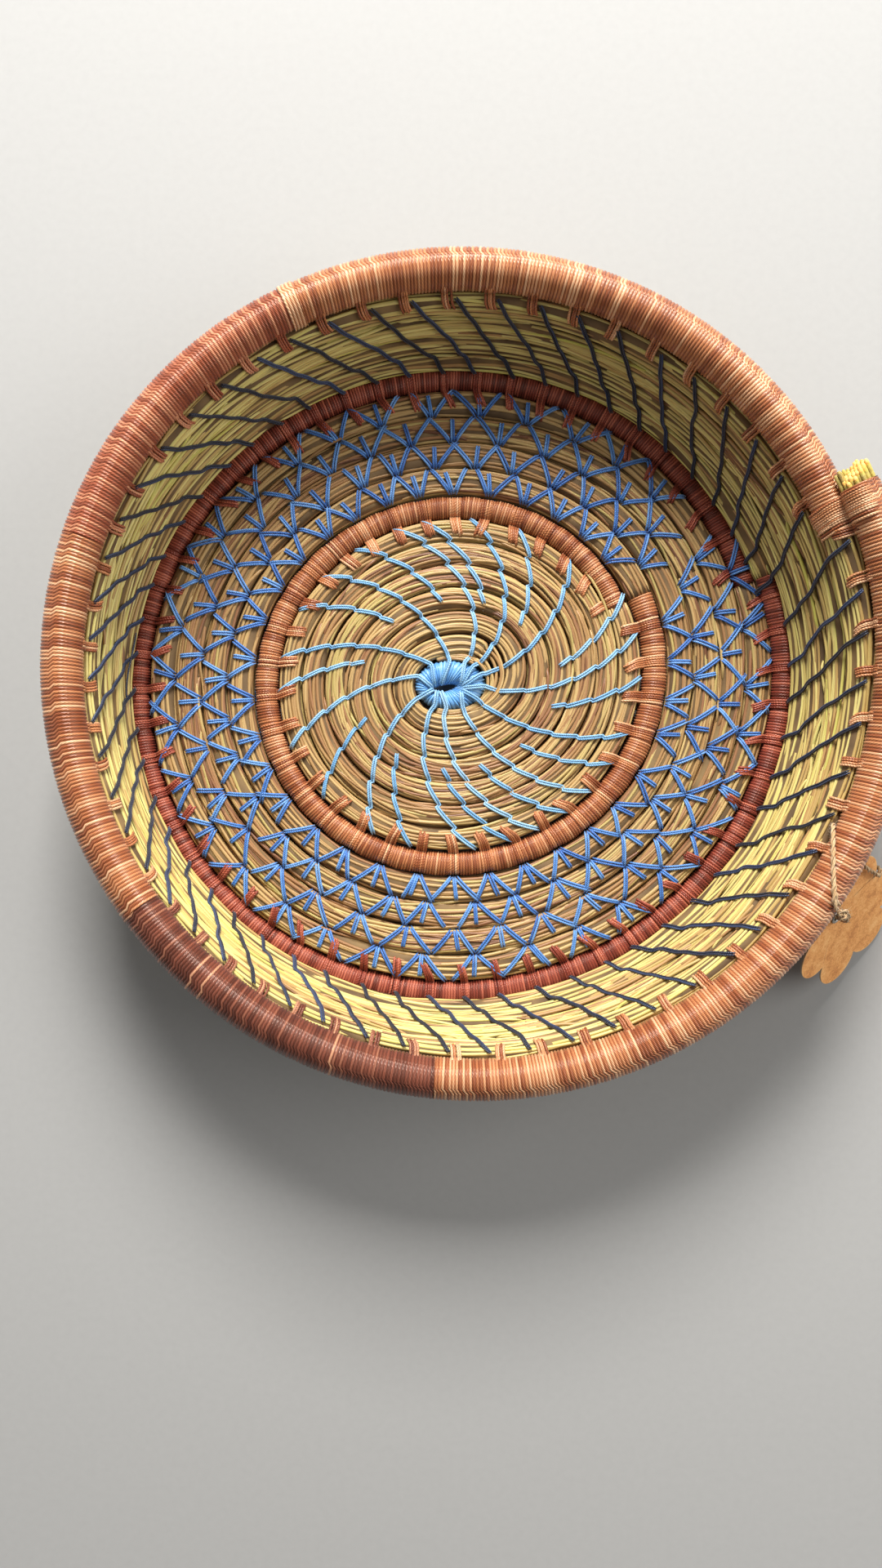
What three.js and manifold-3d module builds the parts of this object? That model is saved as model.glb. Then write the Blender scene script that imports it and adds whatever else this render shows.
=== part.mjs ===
// Coiled pine needle basket with a hanging paper tag.
// Millimetres, +Z up, the basket stands on z = 0 and its middle is on the Z axis.
// One bundle of needles runs out from the middle as a spiral, first flat as the floor, then up as
// the wall, and ends in a thick rim. Coloured threads wrap three of its turns and sew every row
// to the one before it.
import * as THREE from 'three';
import { mergeVertices } from 'three/addons/utils/BufferGeometryUtils.js';
import Module from 'manifold-3d';

const wasm = await Module();
wasm.setup();

// Clearances
const seatGap = 0.3;
const rowGap = 0.56;

// Needle bundle: half widths across a row and half height of a row
const innerHalfWidth = 3.42;
const outerHalfWidth = 3.92;
const rowHalfHeight = 4.0;
const rimRadius = 5.65;
const rimEndRadius = 5.0;
const buttLength = 7.0;
const tipHalfWidth = 1.1;

// Threads
const wrapThickness = 0.9;
const wrapMargin = 0.4;
const wrapRamp = 1.0;
const stitchWidth = 1.8;
const stitchHeight = 0.8;
const stitchLift = 0.45;
const runnerWidth = 1.2;

// Bridges of wrapping thread over the row before, and the sewing between them
const copperBridges = 34;
const copperBridgeWidth = 4.0;
const darkBridges = 56;
const darkBridgeWidth = 3.2;
const rimBridgeWidth = 3.4;
const rimBridgePitch = 6.4;
const swirlLines = 24;
const swirlShift = 8.5;
const shortSwirlRow = 2;
const wallShift = 2.0;

// Plan of the spiral: where each stretch starts, in whole turns and degrees
const innerRows = 6;
const outerRows = 4;
const wallRows = 4;
const coilStartAngle = 28;
const copperStartAngle = 24;
const darkStartAngle = 18;
const rimStartAngle = 22;
const rimEndAngle = 24;

// Shape of the floor, whose coil tucks its thin tip in beside the start ring's end
const coilTuck = 0.65;
const ovalAmplitude = 1.89;
const ovalAxisAngle = 19;

// Shape of the wall: the lean of each row over the one below, from the dark ring to past the rim
const stackLeans = [0, 46, 73.8, 74.8, 74.8, 61, 60];
const sideLean = 7.1;
const sideLeanAngle = 3;
const ovalLean = 3.1;
const ovalLeanAngle = -61;
const stepAngle = 8;
const stepHalfWidth = 30;

// Start ring
const startRingLength = 24.2;
const startRingBreadth = 16.6;
const startRingHalfWidth = 3.5;
const startRingAside = -0.5;
const startRingBack = 1.85;

// Facets
const stepsPerTurn = 24;
const rowSides = 6;
const rimSides = 8;
const rimStepFactor = 2;
const leastStep = 0.3;

// Where the thread of the rim changes colour
const rimColourAngles = [114.5, 161, 217.5, 267];

// Twine, knot and loop
const twineDiameter = 1.75;
const twineSides = 6;
const twineSteps = 14;
const twineStartAngle = -22.5;
const twineSeamAngle = 200;
const loopEndAngle = -25.4;
const loopEndTurn = 300;
const loopStepFactor = 3;
const knotRadius = 2.0;
const knotAngle = 25;

// Tag: six round lobes, hung by an eyelet in one of them, leaning with its low edge on the table
const tagAzimuth = -32.6;
const tagSlope = 47;
const tagRimGap = 0.5;
const tagThickness = 0.5;
const tagLobes = 6;
const tagTipRadius = 23.5;
const tagNotchRadius = 16.5;
const tagTwist = 8;
const tagPointsPerLobe = 6;
const eyeletToMiddle = 10.4;
const eyeletBore = 1.25;
const eyeletBarrelWall = 0.35;
const eyeletFlange = 2.3;
const eyeletFlangeThickness = 0.3;
const eyeletSteps = 12;

const turn = 360;
const rad = Math.PI / 180;
const innerPitch = 2 * innerHalfWidth + rowGap;
const outerPitch = 2 * outerHalfWidth + rowGap;
const copperStart = innerRows * turn + copperStartAngle;
const copperEnd = copperStart + turn;
const coilStartRadius = startRingLength / 2 - coilTuck;
const copperRingRadius = coilStartRadius + (copperStart - coilStartAngle) / turn * innerPitch;
const darkStart = (innerRows + 1 + outerRows) * turn + darkStartAngle;
const darkEnd = darkStart + turn;
const darkTurn = innerRows + 1 + outerRows;
const rimStart = (darkTurn + 1 + wallRows) * turn + rimStartAngle;
const rimEnd = (darkTurn + 2 + wallRows) * turn + rimEndAngle;

const lerp = (a, b, u) => a + (b - a) * u;
const spread = (count, first, pitch) => Array.from({ length: count }, (_, k) => first + k * pitch);
const clamp01 = (x) => Math.min(1, Math.max(0, x));
const smooth = (x) => clamp01(x) ** 2 * (3 - 2 * clamp01(x));

// Whole rows counted up the wall: level, with one smooth step each time round at stepAngle
function stepped(angle) {
  const t = (angle - stepAngle) / turn;
  const nearest = Math.round(t);
  const share = (t - nearest) * turn / (2 * stepHalfWidth) + 0.5;
  return nearest - 1 + smooth(share);
}

// Height on the stack of rows: 0 on the dark ring, 1 to 4 on the wall, 5 on the rim
const stackPlace = (angle) => stepped(angle) - darkTurn;

// Radius of the floor spiral, which grows by one pitch a turn
function floorRadius(angle) {
  const along = (angle - copperStart) / turn;
  return copperRingRadius + along * (along < 0 ? innerPitch : outerPitch);
}

// Lean of the line from one row's centre to the next row's, at a place on the stack. It is a
// little less on the side the wall leans out to, and across the long way of the oval rim.
function leanAt(place, angle) {
  if (place <= 0) {
    return 0;
  }
  const last = stackLeans.length - 1;
  const n = Math.min(Math.floor(place), last);
  const from = stackLeans[n];
  const to = stackLeans[Math.min(n + 1, last)];
  const share = n === 0 ? smooth(place) : place - n;
  const aside = sideLean * Math.cos((angle - sideLeanAngle) * rad);
  const oval = ovalLean * Math.cos(2 * (angle - ovalLeanAngle) * rad);
  return (lerp(from, to, clamp01(share)) - (aside + oval) * smooth(place)) * rad;
}

// Centre of a place on the stack, measured from the dark ring's centre: each row stands one
// spacing from the row a turn before it
function stackCentre(place, angle) {
  let out = 0;
  let up = 0;
  let q = place;
  for (; q > 0; q -= 1) {
    const spacing = bundleHalfWidth(q - 1) + bundleHalfWidth(q) + rowGap;
    out += spacing * Math.cos(leanAt(q, angle));
    up += spacing * Math.sin(leanAt(q, angle));
  }
  return [out + q * outerPitch, up];
}

// Turn of the section at a place: halfway between the leans to the rows below and above
function sectionTurn(place, angle) {
  const middle = (leanAt(Math.max(1, place), angle) + leanAt(Math.max(1, place) + 1, angle)) / 2;
  return middle * smooth(place);
}

// Half width of the bundle on the stack: it swells to the rim over the last row and thins
// again at the rim's end
function bundleHalfWidth(place) {
  const top = wallRows + 1;
  return place < top
    ? lerp(outerHalfWidth, rimRadius, clamp01(place - wallRows))
    : lerp(rimRadius, rimEndRadius, clamp01(place - top));
}

// Half width of the bundle: on the floor it grows over the copper ring's turn
function halfWidthAt(angle) {
  const place = stackPlace(angle);
  if (place > 0) {
    return bundleHalfWidth(place);
  }
  return lerp(innerHalfWidth, outerHalfWidth, clamp01((angle - copperStart) / turn));
}

function halfHeightAt(angle) {
  const swell = (halfWidthAt(angle) - outerHalfWidth) / (rimRadius - outerHalfWidth);
  return angle > darkEnd ? lerp(rowHalfHeight, rimRadius, clamp01(swell)) : rowHalfHeight;
}

// Point of the section at a station on the true spiral: across is along the stack of rows,
// up is along the inside face's normal
function stationPoint(angle, across, up) {
  const place = stackPlace(angle);
  let radius = floorRadius(angle) + ovalAmplitude * Math.cos(2 * (angle - ovalAxisAngle) * rad);
  let height = 0;
  let lean = 0;
  if (place > 0) {
    const [out, rise] = stackCentre(place, angle);
    radius += out - outerPitch * place;
    height = rise;
    lean = sectionTurn(place, angle);
  }
  const r = radius + across * Math.cos(lean) - up * Math.sin(lean);
  const z = rowHalfHeight + height + across * Math.sin(lean) + up * Math.cos(lean);
  return [r * Math.cos(angle * rad), r * Math.sin(angle * rad), z];
}

// The same point on the faceted coil, whose stations stand at whole steps of a turn
function coilPoint(angle, across, up, steps = stepsPerTurn) {
  const step = turn / steps;
  const low = Math.floor(angle / step + 1e-9) * step;
  const share = (angle - low) / step;
  const a = stationPoint(low, across, up);
  if (share < 1e-6) {
    return a;
  }
  const b = stationPoint(low + step, across, up);
  return a.map((value, k) => lerp(value, b[k], share));
}

function stationAngles(from, to, steps = stepsPerTurn) {
  const step = turn / steps;
  const angles = [from];
  for (let k = Math.ceil((from + leastStep) / step); k * step < to - leastStep; k += 1) {
    angles.push(k * step);
  }
  angles.push(to);
  return angles;
}

// Hexagon with flat top and bottom for a row, or a round section with more sides for the rim
function sectionPoints(sides, halfWidth, halfHeight) {
  const reach = sides === 6 ? halfHeight / Math.sin(Math.PI / 3) : halfHeight;
  const points = [];
  for (let k = 0; k < sides; k += 1) {
    const corner = 2 * Math.PI * k / sides;
    points.push([halfWidth * Math.cos(corner), reach * Math.sin(corner)]);
  }
  return points;
}

function geometryFrom(vertices, faces) {
  const geometry = new THREE.BufferGeometry();
  geometry.setAttribute('position', new THREE.Float32BufferAttribute(vertices.flat(), 3));
  geometry.setIndex(faces.flat());
  return outwards(geometry);
}

function outwards(geometry) {
  const p = geometry.attributes.position;
  const index = Array.from(geometry.index.array);
  const [a, b, c] = [new THREE.Vector3(), new THREE.Vector3(), new THREE.Vector3()];
  let volume = 0;
  for (let k = 0; k < index.length; k += 3) {
    a.fromBufferAttribute(p, index[k]);
    b.fromBufferAttribute(p, index[k + 1]);
    c.fromBufferAttribute(p, index[k + 2]);
    volume += a.dot(b.cross(c));
  }
  if (volume < 0) {
    for (let k = 0; k < index.length; k += 3) {
      [index[k], index[k + 1]] = [index[k + 1], index[k]];
    }
    geometry.setIndex(index);
  }
  return geometry;
}

// Solid lofted through rings of points, with flat ends
function loft(rings) {
  const m = rings[0].length;
  const faces = [];
  for (let s = 0; s + 1 < rings.length; s += 1) {
    for (let k = 0; k < m; k += 1) {
      const next = (k + 1) % m;
      const [p, q, r, t] = [s * m + k, s * m + next, (s + 1) * m + next, (s + 1) * m + k];
      faces.push([p, q, r], [p, r, t]);
    }
  }
  const last = (rings.length - 1) * m;
  for (let k = 1; k + 1 < m; k += 1) {
    faces.push([0, k + 1, k], [last, last + k, last + k + 1]);
  }
  return geometryFrom(rings.flat(), faces);
}

// Solid ring lofted through rings of points and back to the first
function closedLoft(rings) {
  const m = rings[0].length;
  const faces = [];
  for (let s = 0; s < rings.length; s += 1) {
    const after = (s + 1) % rings.length;
    for (let k = 0; k < m; k += 1) {
      const next = (k + 1) % m;
      const [p, q, r, t] = [s * m + k, s * m + next, after * m + next, after * m + k];
      faces.push([p, q, r], [p, r, t]);
    }
  }
  return geometryFrom(rings.flat(), faces);
}

// Open tube with a wall, lofted through pairs of outer and inner rings
function tubeLoft(outer, inner) {
  const m = outer[0].length;
  const count = outer.length;
  const shift = m * count;
  const faces = [];
  for (let s = 0; s + 1 < count; s += 1) {
    for (let k = 0; k < m; k += 1) {
      const next = (k + 1) % m;
      const [p, q, r, t] = [s * m + k, s * m + next, (s + 1) * m + next, (s + 1) * m + k];
      faces.push([p, q, r], [p, r, t]);
      faces.push([q + shift, p + shift, r + shift], [p + shift, t + shift, r + shift]);
    }
  }
  for (let k = 0; k < m; k += 1) {
    const next = (k + 1) % m;
    faces.push([k, k + shift, next + shift], [k, next + shift, next]);
    const e = (count - 1) * m;
    faces.push([e + k, e + next + shift, e + k + shift], [e + k, e + next, e + next + shift]);
  }
  return geometryFrom([...outer.flat(), ...inner.flat()], faces);
}

// Positions and faces only
function stripped(geometry) {
  const bare = new THREE.BufferGeometry();
  bare.setAttribute('position', geometry.attributes.position.clone());
  if (geometry.index) {
    bare.setIndex(geometry.index.clone());
  }
  return bare;
}

// Boolean joins and cuts
function toSolid(geometry) {
  const merged = mergeVertices(stripped(geometry), 1e-5);
  const solid = new wasm.Manifold(new wasm.Mesh({
    numProp: 3,
    vertProperties: new Float32Array(merged.attributes.position.array),
    triVerts: new Uint32Array(merged.index.array),
  }));
  return solid;
}

function fromSolid(solid) {
  const mesh = solid.getMesh();
  const geometry = new THREE.BufferGeometry();
  geometry.setAttribute('position', new THREE.Float32BufferAttribute(mesh.vertProperties, 3));
  geometry.setIndex(Array.from(mesh.triVerts));
  return geometry;
}

// Join in pairs, then pairs of pairs, so that many small pieces join quickly
function joined(solids) {
  let level = solids;
  while (level.length > 1) {
    const next = [];
    for (let k = 0; k < level.length; k += 2) {
      next.push(k + 1 < level.length ? level[k].add(level[k + 1]) : level[k]);
    }
    level = next;
  }
  return level[0];
}

// Rings of one stretch of the bundle, thinner by inset where a wrap goes round it
function bundleRings(angles, sides, steps, insetAt) {
  return angles.map((angle) => {
    const inset = insetAt(angle);
    const points = sectionPoints(sides, halfWidthAt(angle) - inset, halfHeightAt(angle) - inset);
    return points.map(([across, up]) => coilPoint(angle, across, up, steps));
  });
}

// Least gap between a turn and the next one, on points along both outlines
function leastGap(name, from, to, insetAt) {
  const outline = (angle) => {
    const inset = insetAt(angle);
    const section = sectionPoints(rowSides, halfWidthAt(angle) - inset, halfHeightAt(angle) - inset);
    return section.flatMap(([across, up], k) => {
      const [nextAcross, nextUp] = section[(k + 1) % rowSides];
      return spread(8, 0, 1 / 8)
        .map((u) => coilPoint(angle, lerp(across, nextAcross, u), lerp(up, nextUp, u)));
    });
  };
  let least = Infinity;
  for (let angle = from; angle < to - turn; angle += turn / stepsPerTurn / 2) {
    const beyond = outline(angle + turn);
    for (const p of outline(angle)) {
      for (const q of beyond) {
        least = Math.min(least, Math.hypot(p[0] - q[0], p[1] - q[1], p[2] - q[2]));
      }
    }
  }
  console.log(`${name}: least gap to itself ${least.toFixed(2)} mm`);
}

const wrapInset = wrapThickness + seatGap;
const arcAngle = (length, radius) => length / radius / rad;

// Share of the full inset: 1 under a wrap and a little beyond its ends, with a short ramp outside
function covered(angle, from, to) {
  const into = (angle - from + wrapMargin + wrapRamp) / wrapRamp;
  const outOf = (to + wrapMargin + wrapRamp - angle) / wrapRamp;
  return clamp01(Math.min(into, outOf));
}

const insetOnFloor = (angle) => wrapInset * Math.max(
  covered(angle, copperStart, copperEnd),
  covered(angle, darkStart, darkEnd),
);

// Stations plus the given marks; a station that nearly meets a mark gives way to it
function withMarks(angles, marks) {
  const kept = angles.filter((angle) => marks.every((mark) => Math.abs(angle - mark) > leastStep));
  return [...kept, ...marks].sort((a, b) => a - b);
}

// Floor: one unbroken spiral from the pointed tip in the middle to the end of the dark ring
function floorCoil() {
  const tipEnd = coilStartAngle + turn / stepsPerTurn * 1.5;
  const before = (mark) => [mark - wrapMargin - wrapRamp, mark - wrapMargin];
  const after = (mark) => [mark + wrapMargin, mark + wrapMargin + wrapRamp];
  const marks = [tipEnd, ...before(copperStart), ...after(copperEnd), ...before(darkStart)];
  const angles = withMarks(stationAngles(coilStartAngle, darkEnd), marks);
  const rings = angles.map((angle) => {
    const grown = clamp01((angle - coilStartAngle) / (tipEnd - coilStartAngle));
    const inset = insetOnFloor(angle);
    const halfWidth = lerp(tipHalfWidth, halfWidthAt(angle) - inset, grown);
    const shift = -(1 - grown) * (innerHalfWidth - tipHalfWidth) * 0.5;
    const up = lerp(tipHalfWidth, rowHalfHeight - inset, grown);
    return sectionPoints(rowSides, halfWidth, up)
      .map(([across, height]) => coilPoint(angle, across + shift, height));
  });
  return loft(rings);
}

function wallCoil() {
  const start = darkEnd + arcAngle(seatGap, floorRadius(darkEnd));
  const end = rimStart - arcAngle(seatGap, rimCentreRadius());
  return loft(bundleRings(stationAngles(start, end), rowSides, stepsPerTurn, () => 0));
}

function rimCentreRadius() {
  const [x, y] = stationPoint((darkTurn + 2 + wallRows) * turn - turn / 2, 0, 0);
  return Math.hypot(x, y);
}

// Rim core: wrapped all the way round, its cut end stands clear of the last wrap
function rimCore() {
  const steps = stepsPerTurn * rimStepFactor;
  const end = rimEnd + arcAngle(buttLength, rimCentreRadius());
  const angles = [...stationAngles(rimStart, rimEnd, steps), end];
  return loft(bundleRings(angles, rimSides, steps, () => wrapInset));
}

// Sleeve of wound thread round one stretch of the bundle
function sleeve(from, to, sides, steps) {
  const angles = stationAngles(from, to, steps);
  const outer = bundleRings(angles, sides, steps, () => 0);
  const inner = bundleRings(angles, sides, steps, () => wrapThickness);
  return tubeLoft(outer, inner);
}

// Thread laid through a run of places, each [coil angle, across, underside, top, steps]: a flat
// band, or with a ridge a three-sided cord
function laidThread(places, width, ridge = false) {
  return loft(places.map(([angle, across, low, high, steps = stepsPerTurn]) => {
    const [x, y] = coilPoint(angle, across, low, steps);
    const half = width / 2 / Math.hypot(x, y) / rad;
    const tops = ridge ? [0] : [half, -half];
    return [
      coilPoint(angle - half, across, low, steps), coilPoint(angle + half, across, low, steps),
      ...tops.map((side) => coilPoint(angle + side, across, high, steps)),
    ];
  }));
}

// Bridge from a wrap over the row a turn before it: it lies on that row and runs into the wrap
function bridge(angle, width, sides, steps) {
  const back = angle - turn;
  const low = halfHeightAt(back) + seatGap;
  const corner = Math.round(sides * 0.35);
  const [across, up] = sectionPoints(sides, halfWidthAt(angle), halfHeightAt(angle))[corner];
  return laidThread([
    [back, -0.12 * halfWidthAt(back), low, low + wrapThickness],
    [back, 0.55 * halfWidthAt(back), low, low + wrapThickness],
    [angle, across * 0.9, up - wrapThickness * 0.8, up + wrapThickness * 0.2, steps],
  ], width);
}

function wrapWithBridges(from, to, sides, steps, width, places) {
  const bridges = places.map((angle) => toSolid(bridge(angle, width, sides, steps)));
  return fromSolid(joined([toSolid(sleeve(from, to, sides, steps)), ...bridges]));
}

const copperPitch = turn / copperBridges;
const copperFirst = copperStart + arcAngle(copperBridgeWidth / 2 + 0.2, copperRingRadius);
const copperPlaces = spread(copperBridges, copperFirst, copperPitch);
const darkPitch = turn / darkBridges;
const darkPlaces = spread(darkBridges, darkStart + darkPitch / 2, darkPitch);

// Stretches of the rim's wrap, one colour each, with their evenly spaced bridges
const rimTurn = darkTurn + 1 + wallRows;
const rimCuts = [rimStart, ...rimColourAngles.map((angle) => rimTurn * turn + angle), rimEnd];
const rimStretches = rimCuts.slice(1).map((to, k) => {
  const from = rimCuts[k];
  const bridgeEnd = Math.min(to, rimStart + turn);
  const count = Math.round((bridgeEnd - from) / rimBridgePitch);
  const pitch = (bridgeEnd - from) / count;
  return { from, to, pitch, places: spread(count, from + pitch / 2, pitch) };
});

// Thread run along the groove beyond a row, at a share of the row's half height
function runner(from, to, share) {
  const rings = stationAngles(from, to).map((angle) => {
    const low = halfHeightAt(angle) * share;
    const across = halfWidthAt(angle) + rowGap / 2;
    const half = runnerWidth / 2;
    return [[-half, low], [half, low], [half, low + 1], [-half, low + 1]]
      .map(([side, up]) => coilPoint(angle, across + side, up));
  });
  return loft(rings);
}

// End of a stitch: off the crown of its last row and down to the runner in the groove
function stitchEnd(angle, lift, share) {
  const low = halfHeightAt(angle) + lift;
  const foot = halfHeightAt(angle) * share + 0.1;
  return [
    [angle, halfWidthAt(angle) * 0.55, low, low + stitchHeight],
    [angle, halfWidthAt(angle) + rowGap / 2 - runnerWidth / 4, foot, foot + stitchHeight],
  ];
}

// Lines of thread that swirl outwards over the inner floor, every other one short. Each ends
// between two bridges of the copper ring, where one runner joins them.
function swirlStitches() {
  const last = innerRows - 1;
  const share = 0.55;
  const solids = spread(swirlLines, 0, 1).map((k) => {
    const gap = Math.round(k * copperBridges / swirlLines);
    const end = copperFirst - innerRows * turn + (gap + 0.5) * copperPitch;
    const rows = spread(innerRows, 0, 1)
      .map((row) => row * turn + end - swirlShift * (last - row))
      .filter((angle, row) => angle > coilStartAngle + 30 && (k % 2 === 0 || row >= shortSwirlRow));
    const crown = rowHalfHeight + seatGap;
    const run = rows.map((angle) => [angle, 0, crown, crown + stitchHeight]);
    run.push(...stitchEnd(rows[rows.length - 1], seatGap, share));
    return toSolid(laidThread(run, stitchWidth, true));
  });
  const from = last * turn + copperStartAngle + 5;
  const ring = toSolid(runner(from, innerRows * turn + copperStartAngle - 3, share));
  return fromSolid(joined([ring, ...solids]));
}

// Lines of thread up the inside of the wall, one between each two bridges of the rim, joined by
// a runner in the groove below the rim
function wallStitches() {
  const share = 0.36;
  const lines = rimStretches.flatMap(({ from, pitch, places }) => places
    .map((place, k) => from + k * pitch)).slice(1);
  const solids = lines.map((line) => {
    const run = spread(wallRows, 1, 1).map((row) => {
      const angle = line - (wallRows + 1 - row) * turn - wallShift * (wallRows - row);
      const swell = row > 2 ? halfWidthAt(line - turn) - outerHalfWidth : 0;
      const low = halfHeightAt(angle) + stitchLift + swell * 0.5;
      return [angle, row === 1 ? -outerHalfWidth * 0.3 : 0, low, low + stitchHeight];
    });
    run.push(...stitchEnd(line - turn, stitchLift, share));
    return toSolid(laidThread(run, stitchWidth, true));
  });
  const ring = toSolid(runner(lines[0] - turn - 1, lines[lines.length - 1] - turn + 1, share));
  return fromSolid(joined([ring, ...solids]));
}

// Ring of wrapped needles the spiral starts from: a long loop with a slit in the middle
function startRing() {
  const steps = stepsPerTurn;
  const long = startRingLength / 2 - startRingHalfWidth;
  const broad = startRingBreadth / 2 - startRingHalfWidth;
  const rings = spread(steps, 0, turn / steps).map((angle) => {
    const section = sectionPoints(rowSides, startRingHalfWidth, rowHalfHeight);
    return section.map(([across, up]) => [
      (long + across) * Math.cos(angle * rad) + startRingAside,
      (broad + across) * Math.sin(angle * rad) - startRingBack,
      rowHalfHeight + up,
    ]);
  });
  return closedLoft(rings);
}

// Frame of the tag's azimuth: distance out from the axis, distance round, height
const tagCos = Math.cos(tagAzimuth * rad);
const tagSin = Math.sin(tagAzimuth * rad);
const fromTagFrame = ([out, round, up]) => new THREE.Vector3(
  out * tagCos - round * tagSin,
  out * tagSin + round * tagCos,
  up,
);

const rimSteps = stepsPerTurn * rimStepFactor;
const rimAngleAt = (azimuth) => rimTurn * turn + (azimuth < rimStartAngle ? azimuth + turn : azimuth);

// Centre of the rim's section at an azimuth: distance out and height
function rimCentre(azimuth) {
  const [x, y, z] = coilPoint(rimAngleAt(azimuth), 0, 0, rimSteps);
  return [Math.hypot(x, y), z];
}

function aroundRim(azimuth, clear, angle) {
  const [out, up] = rimCentre(azimuth);
  const r = out + clear * Math.cos(angle * rad);
  const z = up + clear * Math.sin(angle * rad);
  return new THREE.Vector3(r * Math.cos(azimuth * rad), r * Math.sin(azimuth * rad), z);
}

const rimAtTag = rimCentre(tagAzimuth);
const knotClear = rimRadius + seatGap + knotRadius;
const knotOut = rimAtTag[0] + knotClear * Math.cos(knotAngle * rad);
const knotUp = rimAtTag[1] + knotClear * Math.sin(knotAngle * rad);
const slopeOut = Math.cos(tagSlope * rad);
const slopeDown = Math.sin(tagSlope * rad);

// The tag's lowest lobe stands on the table, and its highest one nearly touches the rim
const eyeletUp = seatGap + tagThickness + (eyeletToMiddle + tagTipRadius) * slopeDown;
const eyeletToRim = tagTipRadius - eyeletToMiddle + tagRimGap + rimRadius;
const eyeletBeyondRim = Math.sqrt(Math.max(0, eyeletToRim ** 2 - (rimAtTag[1] - eyeletUp) ** 2));
const eyeletOut = Math.max(knotOut, rimAtTag[0] + eyeletBeyondRim);

// Twine out of the seam below the rim, over the rim and down to the knot
function twineOverRim() {
  const clear = rimRadius + seatGap + twineDiameter / 2;
  const reach = (knotRadius + seatGap + twineDiameter / 2) / clear / rad;
  const points = spread(twineSteps + 1, 0, 1 / twineSteps).map((u) => {
    const azimuth = lerp(twineStartAngle, tagAzimuth, smooth(u));
    return aroundRim(azimuth, clear, lerp(twineSeamAngle, knotAngle + reach, u));
  });
  return cordTube(points, points.length - 1);
}

// Round cord along a smooth curve through the points
function cordTube(points, count) {
  const curve = new THREE.CatmullRomCurve3(points);
  const { normals, binormals } = curve.computeFrenetFrames(count, false);
  const rings = spread(count + 1, 0, 1 / count).map((u, k) => {
    const middle = curve.getPointAt(Math.min(1, u));
    return spread(twineSides, 0, turn / twineSides).map((angle) => middle.clone()
      .addScaledVector(normals[k], twineDiameter / 2 * Math.cos(angle * rad))
      .addScaledVector(binormals[k], twineDiameter / 2 * Math.sin(angle * rad))
      .toArray());
  });
  return loft(rings);
}

function twineKnot() {
  const knot = new THREE.IcosahedronGeometry(knotRadius, 1);
  const middle = fromTagFrame([knotOut, 0, knotUp]);
  return knot.translate(middle.x, middle.y, middle.z);
}

// Loop of twine from under the knot down to the eyelet, through it, behind the tag to the notch
// in its side, round the edge there and over one lobe to the underside of the rim
function tagLoop() {
  const drop = Math.hypot(eyeletOut - knotOut, eyeletUp - knotUp);
  const below = (knotRadius + seatGap) / drop;
  const top = [lerp(knotOut, eyeletOut, below), lerp(knotUp, eyeletUp, below)];
  const off = twineDiameter * 1.4;
  const clear = tagThickness / 2 + seatGap + twineDiameter / 2;
  const [notchDown, notchRound] = tagOutlinePoint(lobeTurn * 1.5);
  const end = aroundRim(loopEndAngle, rimRadius + seatGap * 2 + twineDiameter / 2, loopEndTurn);
  const points = [
    fromTagFrame([top[0], 0, top[1]]),
    fromTagFrame([lerp(top[0], eyeletOut, 0.5) + off, 0, lerp(top[1], eyeletUp, 0.5) + off / 2]),
    onTag(0, 0, off),
    onTag(0, 0, 0),
    onTag(0, 0, -off),
    onTag(notchDown * 0.5, notchRound * 0.5, -clear * 1.2),
    onTag(notchDown * 0.95, notchRound + clear * 0.4, -clear * 1.2),
    onTag(notchDown * 0.95, notchRound + clear * 1.9, 0),
    onTag(notchDown * 0.85, notchRound + clear * 0.4, clear * 1.35),
    onTag(-clear * 1.4, notchRound - clear * 0.4, clear * 1.5),
    onTag(-clear * 5.6, notchRound - clear * 0.6, clear * 0.9),
    end,
  ];
  return cordTube(points, points.length * loopStepFactor);
}

// Frame with its origin at the eyelet: X down the slope, Y round the basket, Z off the face
const tagMatrix = new THREE.Matrix4().makeBasis(
  fromTagFrame([slopeOut, 0, -slopeDown]),
  fromTagFrame([0, 1, 0]),
  fromTagFrame([slopeDown, 0, slopeOut]),
).setPosition(fromTagFrame([eyeletOut, 0, eyeletUp]));
const onTag = (down, round, face) => new THREE.Vector3(down, round, face).applyMatrix4(tagMatrix);
const ontoTag = (geometry) => geometry.applyMatrix4(tagMatrix);
const lobeTurn = turn / tagLobes;
const notchAlong = tagNotchRadius * Math.cos(lobeTurn / 2 * rad);
const lobeReach = (tagTipRadius ** 2 - tagNotchRadius ** 2) / (2 * (tagTipRadius - notchAlong));
const lobeRadius = tagTipRadius - lobeReach;

// Point of the tag's outline in that frame, at an angle from the middle of its lowest lobe
function tagOutlinePoint(angle) {
  const aside = angle - Math.round(angle / lobeTurn) * lobeTurn;
  const chord = lobeReach * Math.sin(aside * rad);
  const r = lobeReach * Math.cos(aside * rad) + Math.sqrt(lobeRadius ** 2 - chord ** 2);
  const at = (angle + tagTwist) * rad;
  return [
    eyeletToMiddle * Math.cos(tagTwist * rad) + r * Math.cos(at),
    eyeletToMiddle * Math.sin(tagTwist * rad) + r * Math.sin(at),
  ];
}

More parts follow.
